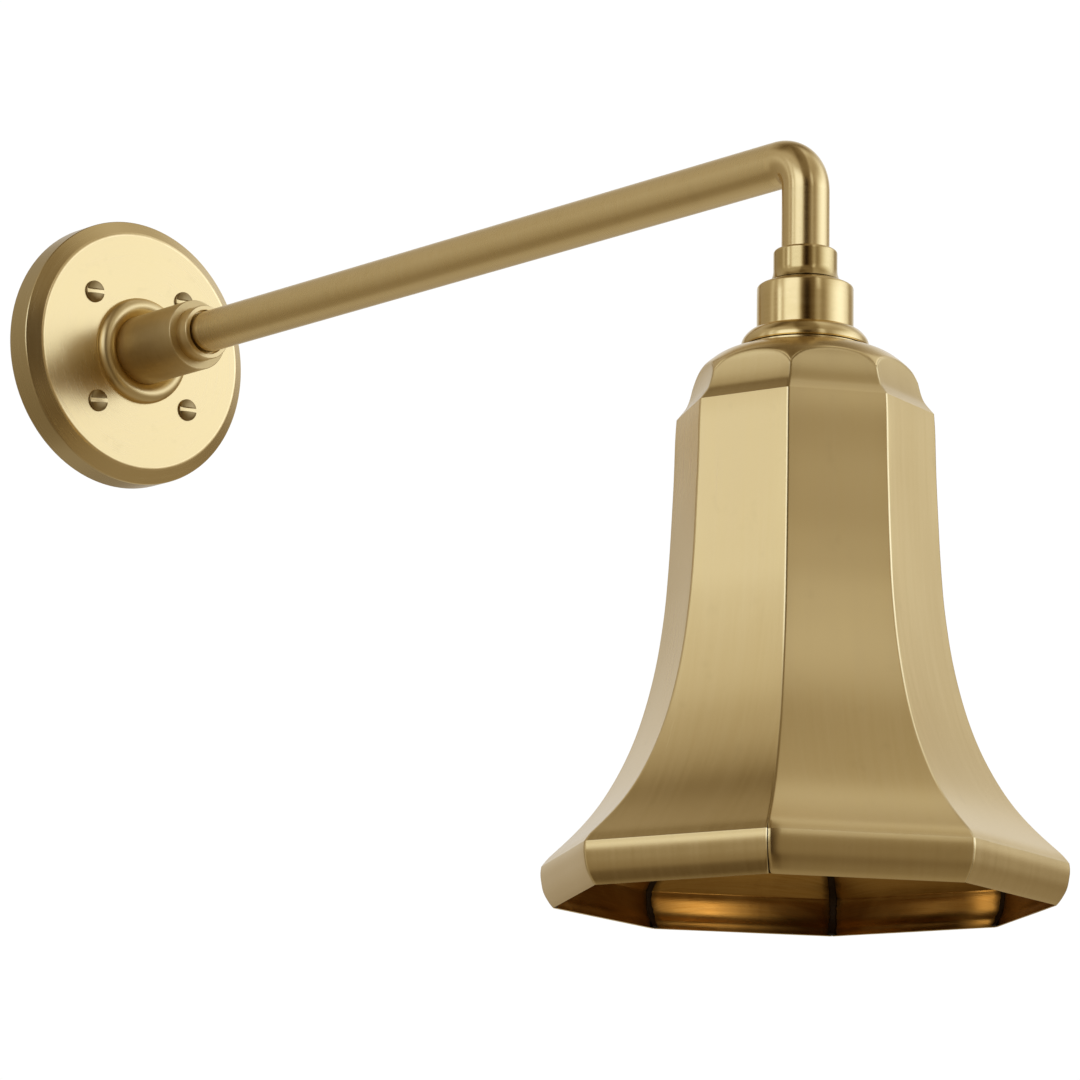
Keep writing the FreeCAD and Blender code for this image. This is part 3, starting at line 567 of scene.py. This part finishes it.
sk = cubic([(20.0, -71.7), (21.4, -72.25), (23.0, -73.4), (24.15, -74.75), (24.95, -76.1), (25.3, -77.4), (25.4, -78.5)], 26)
lathe("skirt", [(19.26, -71.7), (19.6, -71.68)] + [tuple(p) for p in sk] + [(25.12, -79.0, 0.15), (19.26, -79.0)],
      on_shade, M_CUP_PAINTED_SHADE, F, ["skirt_ring"], n=256)

# ------------------------------------------------------------------ shade profile
neck = [(44.2, -84.0), (44.35, -87.5), (44.55, -91.0), (44.95, -93.8), (45.55, -96.6),
        (46.35, -99.4), (47.45, -101.9), (49.15, -104.2), (51.25, -106.7)]
bodyp = [(51.25, -106.7), (51.6, -112.0), (51.9, -122.0), (52.15, -132.0), (52.55, -142.0),
         (53.0, -152.0), (53.5, -162.0), (54.15, -172.0), (54.95, -182.0), (56.15, -192.0),
         (57.67, -202.0), (59.7, -212.0), (62.26, -222.0), (65.45, -232.0), (69.54, -242.0),
         (74.75, -252.0), (81.33, -262.0), (88.2, -270.0), (93.3, -275.0), (97.7, -279.0),
         (100.35, -281.5), (102.7, -284.4)]
lip = [(102.7, -284.4), (102.95, -286.3), (102.9, -288.6), (102.55, -290.9), (102.1, -293.2),
       (101.25, -295.5), (99.9, -297.8), (98.7, -299.5), (97.7, -300.6)]
domep = [(25.4, -80.6), (28.2, -80.95), (30.85, -81.65), (34.97, -83.5), (38.5, -86.0),
         (41.1, -88.3), (43.1, -90.6), (44.2, -92.7)]
SHEET = 1.2
neck_c = cubic([(a * C8, b) for a, b in neck], 200)
body_c = cubic([(a * C8, b) for a, b in bodyp], 120)
lip_c = cubic([(a * C8, b) for a, b in lip], 26)
dome_c = cubic(domep, 200)
ext = dome_c[-1] + (dome_c[-1] - dome_c[-3]) / np.linalg.norm(dome_c[-1] - dome_c[-3]) * 6.0
dome_x = np.concatenate([[[19.0, -80.6]], dome_c, [ext]])


def dome_z(r):
    return np.interp(r, dome_x[:, 0], dome_x[:, 1])


def neck_a(z):
    return np.interp(-z, -neck_c[:, 1], neck_c[:, 0])


def top_of(k):
    """height at which a column, k times as far out as the middle of the panel, meets the dome"""
    lo, hi = -100.0, -84.0
    for _ in range(50):
        mid = (lo + hi) / 2
        if dome_z(neck_a(mid) * k) > mid:
            lo = mid
        else:
            hi = mid
    return (lo + hi) / 2


PROUD = 1                      # side of panel 6 that lies next to the front ridge
SOFT = 0.75                    # width over which ridges and rims are rubbed round


def rub(dist, width, slope):
    """how far a surface falls away near an edge"""
    x = np.clip(1 - dist / width, 0, 1)
    return 0.5 * width * slope * x * x


def seam_gap(z):
    """half width of the mitre joint, a little open at the lip"""
    return 0.02 + 0.07 * np.clip((-z - 262.0) / 22.0, 0, 1) ** 2


def panel(k):
    ang = math.radians(TURN + 45 * k)
    rng = np.random.default_rng(100 + k)
    # columns across, crowded at the ridges
    e = np.array([0.0, 0.12, 0.25, 0.42, 0.62, 0.85, 1.15, 1.6])
    nc = 24
    cols = None
    rows_neck = 34
    a_rows, z_rows, col_s, col_d = [], [], [], []
    inner = np.linspace(-1, 1, nc + 1)[1:-1]

    def columns(half):
        left = -half + e
        right = half - e[::-1]
        mid = inner * (half - 2.4)
        return np.concatenate([left, mid, right])

    ncol = len(columns(30.0))
    P, B, E, CO = [], [], [], []
    run_b = np.concatenate([[0], np.cumsum(np.linalg.norm(np.diff(body_c, axis=0), axis=1))])
    run_l = np.concatenate([[0], np.cumsum(np.linalg.norm(np.diff(lip_c, axis=0), axis=1))])
    # fraction of each column at the neck, for the scalloped top
    z_tops = []
    for j in range(ncol):
        y = columns(neck_a(-92.0) * T8)[j]
        k_s = math.sqrt(1 + (y / neck_a(-92.0)) ** 2)
        z_tops.append(top_of(k_s))
    z_tops = np.array(z_tops)
    tpar = np.concatenate([[0, 0.012, 0.026, 0.045, 0.07], np.linspace(0.1, 0.97, rows_neck), [0.985, 0.994]])
    grid = []
    for t in tpar:
        z = z_tops + (-106.7 - z_tops) * t
        grid.append((z, neck_a(z), np.abs((z_tops - z))))
    zc = body_c[:, 1]
    for i in range(len(body_c)):
        grid.append((np.full(ncol, body_c[i, 1]), np.full(ncol, body_c[i, 0]), np.full(ncol, 99.0)))
    for i in range(1, len(lip_c)):
        grid.append((np.full(ncol, lip_c[i, 1]), np.full(ncol, lip_c[i, 0]), np.full(ncol, 99.0)))
    nr = len(grid)
    A = np.array([g[1] for g in grid])
    Z = np.array([g[0] for g in grid])
    D = np.array([g[2] for g in grid])
    H = A * T8 - seam_gap(Z)
    Y = np.zeros_like(A)
    for i in range(nr):
        Y[i] = columns(30.0)
        half = H[i]
        c = columns(30.0)
        s = np.where(np.abs(c) > 30 - 1.7, np.sign(c) * (half - (30 - np.abs(c))), c / (30 - 2.4) * (half - 2.4))
        Y[i] = s
    # rubbed ridges, crease, lip crease and rim
    dist_side = H - np.abs(Y)
    # outward normal in the profile plane
    dA, dZ = np.gradient(A, axis=0), np.gradient(Z, axis=0)
    ln = np.hypot(dA, dZ) + 1e-9
    NA, NZ = -dZ / ln, dA / ln
    drop = rub(dist_side, SOFT, T8) + rub(D, 0.9, 0.42)
    if k == 5:
        side = H + Y * PROUD
        drop = drop + 0.85 * np.clip(1 - side / 2.4, 0, 1) ** 1.6 * np.clip((-Z - 281.0) / 3.5, 0, 1)
    # the sheet is not dead flat: a slow wander of a few hundredths
    wob = 0.03 * np.sin(Z / 17.0 + k) * np.cos(Y / 9.0 + 2 * k) + 0.02 * np.sin(Z / 7.3 + 3 * k)
    wob *= np.clip(dist_side / 3.0, 0, 1)
    Ao, Zo = A - NA * (drop - wob), Z - NZ * (drop - wob)
    # edge mask for the material: ridges, lip crease and rim lightened, partly wear and partly a painted edge highlight
    edge = np.clip(1 - dist_side / 0.55, 0, 1)
    edge = np.maximum(edge, np.clip(1 - np.abs(Z + 284.4) / 0.8, 0, 1) * 0.35)
    edge = np.maximum(edge, np.clip(1 - D / 0.7, 0, 1) * 0.5)
    # painted edge highlight taken off the proud side of panel 6 near the lip
    if k == 5:
        edge = edge * np.clip((H + Y * PROUD - 1.2) / 1.5 + np.clip((Z + 283.0) / 2.0, 0, 1), 0, 1)
    out_v = np.stack([Ao, Y, Zo], -1)
    # inside skin
    thick = SHEET - 0.8 * np.clip((-Z - 297.6) / 3.0, 0, 1)
    Ai, Zi = A - NA * thick, Z - NZ * thick
    Zi = np.maximum(Zi, -300.45)
    top_in = np.minimum(Zi[0], Z[0] - 0.2)
    Zi[0] = top_in
    Yi = Y * np.clip((Ai * T8 - seam_gap(Z)) / np.maximum(H, 1e-6), 0.5, 1)
    in_v = np.stack([Ai, Yi, Zi], -1)
    co_i = np.clip(1 - (Ai * T8 - np.abs(Yi)) / 9.0, 0, 1)
    V3 = np.concatenate([out_v.reshape(-1, 3), in_v.reshape(-1, 3)])
    x = V3[:, 0] * math.cos(ang) - V3[:, 1] * math.sin(ang)
    y = V3[:, 0] * math.sin(ang) + V3[:, 1] * math.cos(ang)
    W = np.stack([x, y - REACH, V3[:, 2]], -1) * MM
    run = np.concatenate([np.zeros((1, ncol)), np.cumsum(np.hypot(np.diff(A, axis=0), np.diff(Z, axis=0)), axis=0)])
    br_o = np.stack([Y, run, np.full_like(Y, 7.3 * k)], -1).reshape(-1, 3)
    BR = np.concatenate([br_o, br_o])
    EG = np.concatenate([edge.ravel(), np.zeros(nr * ncol)])
    CR = np.concatenate([np.zeros(nr * ncol), co_i.ravel()])
    faces, mi, uv = [], [], []
    half = nr * ncol

    def uvq(q):
        for w in q:
            p = BR[w]
            uv.extend([p[0] * 0.01, p[1] * 0.01])

    for i in range(nr - 1):
        for j in range(ncol - 1):
            q = (i * ncol + j, i * ncol + j + 1, (i + 1) * ncol + j + 1, (i + 1) * ncol + j)
            faces.append(q)
            mi.append(0)
            uvq(q)
            q = tuple(half + w for w in q[::-1])
            faces.append(q)
            mi.append(1)
            uvq(q)
    for i in range(nr - 1):
        for j, flip in ((0, False), (ncol - 1, True)):
            q = (i * ncol + j, (i + 1) * ncol + j, half + (i + 1) * ncol + j, half + i * ncol + j)
            q = q[::-1] if flip else q
            faces.append(q)
            mi.append(2)
            uvq(q)
    for j in range(ncol - 1):
        for i, flip in ((0, False), (nr - 1, True)):
            q = (i * ncol + j, half + i * ncol + j, half + i * ncol + j + 1, i * ncol + j + 1)
            q = q[::-1] if flip else q
            faces.append(q)
            mi.append(0)
            uvq(q)
    ob = finish_mesh("panel_%d" % (k + 1), W, faces, BR, EG, np.array(uv), [M_SHADE, M_INSIDE_PAINTED_SHADE, M_SOLDER], mi,
                     body="shade", replaces=["shade_panel_%d" % (k + 1)])
    at = ob.data.attributes.new("corner", "FLOAT", "POINT")
    at.data.foreach_set("value", CR.astype(np.float32))
    # painted shade: the hollow neck is darkened a little in colour
    neck_painted_shade = 0.20 * np.clip((Z.ravel() + 107.2) / 3.0, 0, 1)
    at = ob.data.attributes.new("painted_shade", "FLOAT", "POINT")
    at.data.foreach_set("value", np.concatenate([neck_painted_shade, np.zeros(nr * ncol)]).astype(np.float32))
    # keep the crease, the lip crease, the rim and the mitre faces crisp
    me = ob.data
    sharp = me.attributes.new("sharp_edge", "BOOLEAN", "EDGE")
    crease_rows = {len(tpar), len(tpar) + len(body_c) - 1}
    flags = []
    for ed in me.edges:
        a, b = ed.vertices
        ia, ib = (a % half) // ncol, (b % half) // ncol
        ja, jb = a % ncol, b % ncol
        s = False
        if ia == ib and ia in crease_rows:
            s = True
        if (a < half) != (b < half):
            s = True
        if ja == jb and ja in (0, ncol - 1):
            s = True
        if ia == ib and ia in (0, nr - 1):
            s = True
        flags.append(s)
    sharp.data.foreach_set("value", flags)
    return ob


for k in range(8):
    panel(k)


def crown():
    """turned dome that ends in eight scallops on the flat sides"""
    per = 40
    n = 8 * per
    rr, zz, ths = [], [], []
    th0 = math.radians(TURN)
    radial = 46
    V, B, E = [], [], []
    ths = np.linspace(0, 2 * math.pi, n, endpoint=False)
    ends = []
    for t in ths:
        off = (t + math.pi / 8) % (math.pi / 4) - math.pi / 8
        kf = 1 / math.cos(off)
        z = top_of(kf)
        ends.append((neck_a(z) * kf, z))
    ends = np.array(ends)
    # distance along the dome to its rim
    par = np.concatenate([np.linspace(0, 0.93, radial), [0.955, 0.972, 0.985, 0.994, 1.0]])
    R0 = 19.88
    for t, (re, ze) in zip(ths, ends):
        r = R0 + (re - R0) * par
        z = dome_z(r)
        d = re - r
        sl = np.gradient(z, r)
        nrm = np.hypot(1, sl)
        dr = rub(d * nrm, 0.9, 0.42)
        rr.append(r + sl / nrm * dr)
        zz.append(z - dr / nrm)
    rr, zz = np.array(rr), np.array(zz)
    # the rim tucks under the panels
    rr = np.concatenate([rr, rr[:, -1:] - 0.25, rr[:, -1:] - 0.3], 1)
    zz = np.concatenate([zz, zz[:, -1:] - 0.35, zz[:, -1:] - 1.0], 1)
    m = rr.shape[1]
    # underside
    inner_r = np.minimum(rr - 0.9 * np.linspace(0, 1, m)[None, :], 200)
    inner_z = zz - 1.6
    Vt = []
    Bt = []
    for i in range(n):
        t = th0 + ths[i]
        s = np.concatenate([[0], np.cumsum(np.hypot(np.diff(rr[i]), np.diff(zz[i])))])
        for j in range(m):
            Vt.append((rr[i, j] * math.cos(t), -REACH + rr[i, j] * math.sin(t), zz[i, j]))
            Bt.append((2 * math.cos(t), 2 * math.sin(t), s[j]))
        for j in range(m):
            Vt.append((inner_r[i, j] * math.cos(t), -REACH + inner_r[i, j] * math.sin(t), inner_z[i, j]))
            Bt.append((2 * math.cos(t), 2 * math.sin(t), s[j] + 50))
    Vt, Bt = np.array(Vt) * MM, np.array(Bt)
    faces, uv, mi = [], [], []
    w = 2 * m

    def put(q, mat, us):
        faces.append(q)
        mi.append(mat)
        for idx, u in zip(q, us):
            uv.extend([u * 0.3, Bt[idx][2] * 0.01])

    for i in range(n):
        i2 = (i + 1) % n
        for j in range(m - 1):
            put((i * w + j, i * w + j + 1, i2 * w + j + 1, i2 * w + j), 0, (i, i, i + 1, i + 1))
            put((i * w + m + j, i2 * w + m + j, i2 * w + m + j + 1, i * w + m + j + 1), 1, (i, i + 1, i + 1, i))
        put((i * w, i2 * w, i2 * w + m, i * w + m), 0, (i, i + 1, i + 1, i))
        put((i * w + m - 1, i * w + 2 * m - 1, i2 * w + 2 * m - 1, i2 * w + m - 1), 0, (i, i, i + 1, i + 1))
    eg = np.zeros(len(Vt))
    ob = finish_mesh("crown", Vt, faces, Bt, eg, np.array(uv), [M_TURN, M_INSIDE_PAINTED_SHADE], mi, body="shade",
                     replaces=["shade_crown"])
    ob.data.set_sharp_from_angle(angle=math.radians(50))
    return ob


crown()
lathe("seat_ring", [(20.3, -80.55, 0.1), (24.9, -80.55, 0.15), (24.9, -79.3, 0.2), (20.3, -79.3, 0.1)],
      on_shade, M_TURN, "shade", ["seat_washer"], n=192)


def solder(k):
    """rough dark fillet of solder run down the inside of one mitre"""
    ang = math.radians(TURN + 22.5 + 45 * k)
    rng = np.random.default_rng(7 + k)
    path = np.concatenate([neck_c[125::10], body_c[1::2], lip_c[1:]])
    m = len(path)
    dA, dZ = np.gradient(path[:, 0]), np.gradient(path[:, 1])
    ln = np.hypot(dA, dZ)
    NA, NZ = -dZ / ln, dA / ln
    prof = np.array([-1.0, -0.6, -0.2, 0.2, 0.6, 1.0])
    wide = 0.95 + 0.2 * np.sin(np.arange(m) * 0.31 + k) + np.convolve(rng.uniform(-0.35, 0.45, m), [0.25, 0.5, 0.25], "same")
    wide = wide + np.clip((-path[:, 1] - 255) / 30, 0, 1) * 0.45
    V, F2 = [], []
    for i in range(m):
        Ri = (path[i, 0] - NA[i] * (SHEET + 0.02)) / C8
        for q in prof:
            y = q * wide[i]
            # corner line minus the fall of the two flat sides
            r = Ri - abs(y) * T8 - 0.02 - (0.35 + 0.25 * rng.random()) * (1 - q * q)
            V.append((r, y, path[i, 1] - NZ[i] * (SHEET + 0.02)))
    base = len(V)
    for i in range(m):
        Ri = (path[i, 0] - NA[i] * 0.75) / C8
        for q in prof:
            y = q * wide[i] * 0.98
            V.append((Ri - abs(y) * T8, y, path[i, 1] - NZ[i] * 0.75))
    c = len(prof)
    for i in range(m - 1):
        for j in range(c - 1):
            F2.append((i * c + j, i * c + j + 1, (i + 1) * c + j + 1, (i + 1) * c + j))
            F2.append(tuple(base + w for w in (i * c + j, (i + 1) * c + j, (i + 1) * c + j + 1, i * c + j + 1)))
        for j in (0, c - 1):
            F2.append((i * c + j, (i + 1) * c + j, base + (i + 1) * c + j, base + i * c + j))
    for i in (0, m - 1):
        for j in range(c - 1):
            F2.append((i * c + j, i * c + j + 1, base + i * c + j + 1, base + i * c + j))
    V = np.array(V)
    x = V[:, 0] * math.cos(ang) - V[:, 1] * math.sin(ang)
    y = V[:, 0] * math.sin(ang) + V[:, 1] * math.cos(ang)
    W = np.stack([x, y - REACH, V[:, 2]], -1) * MM
    return finish_mesh("solder_%d" % (k + 1), W, F2, mats=[M_SOLDER], body="shade")


for k in range(8):
    solder(k)

# ------------------------------------------------------------------ lampholder, seen from below
lathe("holder_body", [(0.0, -79.22), (19.4, -79.22, 0.3), (19.8, -79.6)] +
      [(19.8 - (0.45 if i % 2 else 0.0), -81.0 - 1.0 * i, 0.25) for i in range(24)] +
      [(19.0, -105.0, 0.4), (17.6, -106.2, 0.6), (17.6, -119.0, 0.8), (16.4, -120.0, 0.5), (14.75, -120.0, 0.35),
       (14.02, -119.0, 0.3), (14.02, -91.5, 0.2), (0.0, -91.5)],
      on_shade, M_PORC, F, ["lampholder_body"], n=160, weld=True)
lathe("holder_cap", [(5.2, -57.5, 0.2), (15.2, -57.5, 0.5), (17.2, -59.5, 0.5), (17.2, -79.2, 0.2), (14.6, -79.2, 0.2),
                     (14.6, -65.0, 0.5), (5.2, -65.0, 0.2)], on_shade, M_PORC, F, ["lampholder_cap"], n=128)


def screw_shell():
    """thin brass shell with the rolled lamp thread pressed into it"""
    n, m = 144, 150
    z = np.linspace(-96.5, -117.5, m)
    th = np.linspace(0, 2 * math.pi, n, endpoint=False)
    V, B = [], []
    for side in (0, 1):
        for i in range(m):
            zz = z[i]
            ph = 2 * math.pi * (zz / 3.63) - th
            fade = min(1, (i) / 10, (m - 1 - i) / 12)
            dr = 0.32 * np.cos(ph) * fade
            r = (13.58 if side == 0 else 13.98) + dr - (0.0 if side == 0 else 0.32)
            V.append(np.stack([r * np.cos(th), -REACH + r * np.sin(th), np.full(n, zz)], -1))
            B.append(np.stack([2 * np.cos(th), 2 * np.sin(th), np.full(n, zz)], -1))
    V, B = np.concatenate(V) * MM, np.concatenate(B)
    faces = []
    h = n * m
    for i in range(m - 1):
        for j in range(n):
            j2 = (j + 1) % n
            faces.append((i * n + j, i * n + j2, (i + 1) * n + j2, (i + 1) * n + j))
            faces.append((h + i * n + j, h + (i + 1) * n + j, h + (i + 1) * n + j2, h + i * n + j2))
    for i in (0, m - 1):
        for j in range(n):
            j2 = (j + 1) % n
            faces.append((i * n + j, h + i * n + j, h + i * n + j2, i * n + j2))
    return finish_mesh("lamp_shell", V, faces, B, np.zeros(len(V)), None, [M_PLAIN], body=F,
                       replaces=["screw_shell"])


screw_shell()


def ribbed_ring():
    """moulded ring with finger ribs round its outside"""
    n = 24 * 12
    prof, edge = soften([(19.87, -83.8, 0.3), (26.2, -83.8, 0.0), (27.0, -84.6, 0.4), (27.0, -89.5, 0.4), (26.2, -90.3, 0.3),
                         (20.5, -90.3, 0.3), (19.87, -89.7, 0.3)], True, 4)
    m = len(prof)
    th = np.linspace(0, 2 * math.pi, n, endpoint=False)
    rib = 0.5 + 0.5 * np.cos(24 * th)
    V = []
    for i in range(m):
        r, z = prof[i]
        w = np.clip((r - 25.0) / 1.6, 0, 1)
        V.append(np.stack([(r - w * 0.9 * rib ** 3) * np.cos(th), -REACH + (r - w * 0.9 * rib ** 3) * np.sin(th),
                           np.full(n, z)], -1))
    V = np.concatenate(V) * MM
    faces = []
    for i in range(m):
        i2 = (i + 1) % m
        for j in range(n):
            j2 = (j + 1) % n
            faces.append((i * n + j, i * n + j2, i2 * n + j2, i2 * n + j))
    return finish_mesh("clamp_ring", V, faces, mats=[M_RING], body="ring", replaces=["shade_ring"])


ribbed_ring()

# ------------------------------------------------------------------ finishes for the CAD nodes that stay
FINISH = {"fixing_plate": M_STEEL, "cover_pillars": M_STEEL, "earth_screw": M_STEEL, "arm_set_screw": M_STEEL,
          "hub_stud": M_STEEL, "hub_nut": M_STEEL, "hub_washer": M_STEEL, "stem_nipple": M_STEEL, "cup_nut": M_STEEL,
          "holder_nut": M_STEEL, "live_terminal": M_PLAIN, "neutral_terminal": M_PLAIN, "terminal_screws": M_PLAIN,
          "contact_foot": M_PLAIN, "centre_contact": M_PLAIN, "clamp_washer": M_FIBRE, "live_wire": M_BLACK,
          "neutral_wire": M_WHITE, "earth_wire": M_GREEN, "wire_connectors": M_NUT}
for name, mat in FINISH.items():
    ob = nodes[name]
    if not ob.material_slots:
        ob.data.materials.append(mat)
    for s in ob.material_slots:
        s.material = mat

# ------------------------------------------------------------------ floor, light, camera


def stage_floor():
    """pale floor of the room, as far below the object as under a light on a wall"""
    n = 64
    V, F2 = [], []
    for i in range(n + 1):
        for j in range(n + 1):
            x, y = -24 + 48 * i / n, -24 + 48 * j / n
            V.append((x, y - 0.3, -3.4 + 0.0004 * math.sin(3 * x) * math.cos(2 * y)))
    for i in range(n):
        for j in range(n):
            F2.append((i * (n + 1) + j, (i + 1) * (n + 1) + j, (i + 1) * (n + 1) + j + 1, i * (n + 1) + j + 1))
    m = plain("floor_paper", (0.80, 0.80, 0.80), (0.84, 0.84, 0.84), 0.8, scale=3.0, bump=0.02)
    b = next(q for q in m.node_tree.nodes if q.type == "BSDF_PRINCIPLED")
    b.inputs["Emission Color"].default_value = (1.0, 0.995, 0.985, 1)
    b.inputs["Emission Strength"].default_value = 0.48
    ob = finish_mesh("floor", V, F2, mats=[m], normals=False)
    ob.visible_glossy = ob.visible_diffuse = False
    return ob


stage_floor()

world = bpy.data.worlds.new("studio")
scene.world = world
world.use_nodes = True
t = world.node_tree
t.nodes.clear()
wo = add(t, "ShaderNodeOutputWorld")
tc = add(t, "ShaderNodeTexCoord")
sep = add(t, "ShaderNodeSeparateXYZ")
link(t, tc.outputs["Generated"], sep.inputs[0])
def vdot(v):
    n = add(t, "ShaderNodeVectorMath", operation="DOT_PRODUCT")
    link(t, tc.outputs["Generated"], n.inputs[0])
    n.inputs[1].default_value = v
    return n.outputs["Value"]


def soft_box(az, el, half_w, half_h, soft):
    """soft-edged rectangle of the studio, seen from the object"""
    a, e = math.radians(az), math.radians(el)
    c = Vector((math.cos(a) * math.cos(e), math.sin(a) * math.cos(e), math.sin(e)))
    u = Vector((-math.sin(a), math.cos(a), 0))
    v = c.cross(u)
    dc = mathn(t, "MAXIMUM", vdot(c), 0.05)
    f = mathn(t, "GREATER_THAN", vdot(c), 0.05)
    for axis, half in ((u, half_w), (v, half_h)):
        x = mathn(t, "ABSOLUTE", mathn(t, "DIVIDE", vdot(axis), dc))
        m = add(t, "ShaderNodeMapRange", interpolation_type="SMOOTHSTEP")
        link(t, x, m.inputs[0])
        m.inputs[1].default_value, m.inputs[2].default_value = half + soft, half - soft
        m.inputs[3].default_value, m.inputs[4].default_value = 0.0, 1.0
        f = mathn(t, "MULTIPLY", f, m.outputs[0])
    return f


# base level of the room, then dark flags, then lights: (azimuth, elevation, half width, half height, softness, level)
BASE = (0.312, 0.098, 0.137, -0.016, 0.030, -0.114)
FLAGS = [(230.4, 37.2, 0.318, 2.175, 0.067, 0.544), (73.5, 70.0, 0.66, 0.093, 0.33, 0.97),
         (243.2, -40.6, 0.208, 0.339, 0.19, 0.676), (160, -48, 0.32, 0.22, 0.13, 0.65), (0, -2, 0.25, 0.2, 0.15, 0.2),
         (150, 74, 0.55, 0.22, 0.20, 0.45), (54, -16, 0.2, 0.2, 0.15, 0.2), (35, -61, 0.3, 0.2, 0.15, 0.3)]
LIGHTS = [(191.8, 16.6, 0.347, 0.320, 0.150, 0.82), (312.8, 15.5, 0.468, 0.221, 0.470, 1.40),
          (342.7, 36.0, 0.239, 0.280, 0.420, 0.78), (40.4, 18.1, 0.471, 0.391, 0.367, 0.487),
          (162.2, 12.0, 0.080, 0.130, 0.070, 0.80), (257.5, 28.0, 0.065, 0.200, 0.105, 0.55), (159.0, 26.0, 0.075, 0.190, 0.100, 0.42),
          (97.0, 58.0, 0.10, 0.08, 0.12, 0.14), (21.0, 31.0, 0.12, 0.12, 0.12, 0.14),
          (33.8, -41.4, 0.328, 0.452, 0.284, 0.326), (140.3, -1.5, 0.04, 0.595, 0.166, 0.441),
          (72.0, 8.0, 0.14, 0.30, 0.12, 0.11), (80.0, -42.0, 0.22, 0.15, 0.12, 0.16), (193.0, -6.0, 0.09, 0.07, 0.08, 0.45), (346.0, 73.0, 0.16, 0.12, 0.14, 0.24),
          (345.0, 10.0, 0.08, 0.10, 0.10, 0.15)]
# the camera and its stand: dark in every reflection of the front
SHADOW = [(229.5, 0.0, 0.14, 0.53, 0.11, 0.85)]
lx, ly, lz = sep.outputs[0], sep.outputs[1], sep.outputs[2]
lum = mathn(t, "ADD", mathn(t, "MULTIPLY", lz, BASE[1]), BASE[0])
lum = mathn(t, "ADD", lum, mathn(t, "MULTIPLY", mathn(t, "MULTIPLY", lz, lz), BASE[2]))
lum = mathn(t, "ADD", lum, mathn(t, "MULTIPLY", lx, BASE[3]))
lum = mathn(t, "ADD", lum, mathn(t, "MULTIPLY", ly, BASE[4]))
lum = mathn(t, "ADD", lum, mathn(t, "MULTIPLY", mathn(t, "MULTIPLY", lx, lz), BASE[5]))
lum = mathn(t, "MAXIMUM", lum, 0.03)
for q in FLAGS:
    lum = mathn(t, "MULTIPLY", lum, mathn(t, "SUBTRACT", 1.0, mathn(t, "MULTIPLY", soft_box(*q[:5]), q[5])))
for q in LIGHTS:
    lum = mathn(t, "ADD", lum, mathn(t, "MULTIPLY", soft_box(*q[:5]), q[5]))
for q in SHADOW:
    lum = mathn(t, "MULTIPLY", lum, mathn(t, "SUBTRACT", 1.0, mathn(t, "MULTIPLY", soft_box(*q[:5]), q[5])))
# the lights are near neutral, the dim parts of the room are warm
comb = add(t, "ShaderNodeCombineXYZ")
link(t, lum, comb.inputs[0])
link(t, mathn(t, "MULTIPLY", mathn(t, "POWER", lum, 1.19), 1.034), comb.inputs[1])
link(t, mathn(t, "MULTIPLY", mathn(t, "POWER", lum, 1.55), 1.136), comb.inputs[2])
col = comb.outputs[0]
bg = add(t, "ShaderNodeBackground")
link(t, col, bg.inputs[0])
bg.inputs[1].default_value = 1.0
white = add(t, "ShaderNodeBackground")
white.inputs[0].default_value = (1, 1, 1, 1)
white.inputs[1].default_value = 1.02
lp = add(t, "ShaderNodeLightPath")
mx = add(t, "ShaderNodeMixShader")
link(t, lp.outputs["Is Camera Ray"], mx.inputs[0])
link(t, bg.outputs[0], mx.inputs[1])
link(t, white.outputs[0], mx.inputs[2])
link(t, mx.outputs[0], wo.inputs[0])

def glow(name, at, aim, size, power, colour):
    """small warm light inside the mouth: what the table below throws back and forth between the polished inner sides"""
    li = bpy.data.lights.new(name, "AREA")
    li.shape, li.size, li.energy, li.color = "DISK", size, power, colour
    ob = bpy.data.objects.new(name, li)
    scene.collection.objects.link(ob)
    at, aim = Vector(at) * MM, Vector(aim) * MM
    ob.location = at
    ob.rotation_euler = (aim - at).to_track_quat("-Z", "Y").to_euler()
    ob.visible_camera = False
    return ob


WARM = (1.0, 0.84, 0.66)
glow("inner_light_1", (17.5, -432.5, -257.5), (30.5, -371.5, -292.0), 0.022, 0.0056, WARM)
glow("inner_light_2", (76.0, -462.0, -281.6), (100.2, -469.0, -291.4), 0.008, 0.00048, WARM)

scene.view_settings.view_transform = "Standard"
scene.view_settings.look = "None"
scene.view_settings.exposure = 0.0
scene.view_settings.gamma = 1.0

# camera: a long lens below the arm, looking up a little
azi, ele, rol = math.radians(-41.5273), math.radians(-11.8629), math.radians(1.02457)
back = Vector((math.sin(azi) * math.cos(ele), -math.cos(azi) * math.cos(ele), math.sin(ele)))
right = (-back).cross(Vector((0, 0, 1))).normalized()
upv = right.cross(-back)
r2 = right * math.cos(rol) + upv * math.sin(rol)
u2 = -right * math.sin(rol) + upv * math.cos(rol)
cam = bpy.data.cameras.new("camera")
cam.sensor_fit = "HORIZONTAL"
cam.sensor_width = 36.0
cam.lens = 4322.42 / 1080 * 36.0
cam.clip_start, cam.clip_end = 0.05, 60
co = bpy.data.objects.new("camera", cam)
scene.collection.objects.link(co)
m = Matrix((r2, u2, back)).transposed().to_4x4()
m.translation = Vector((-1.177209, -1.634460, -0.506449))
co.matrix_world = m
scene.camera = co
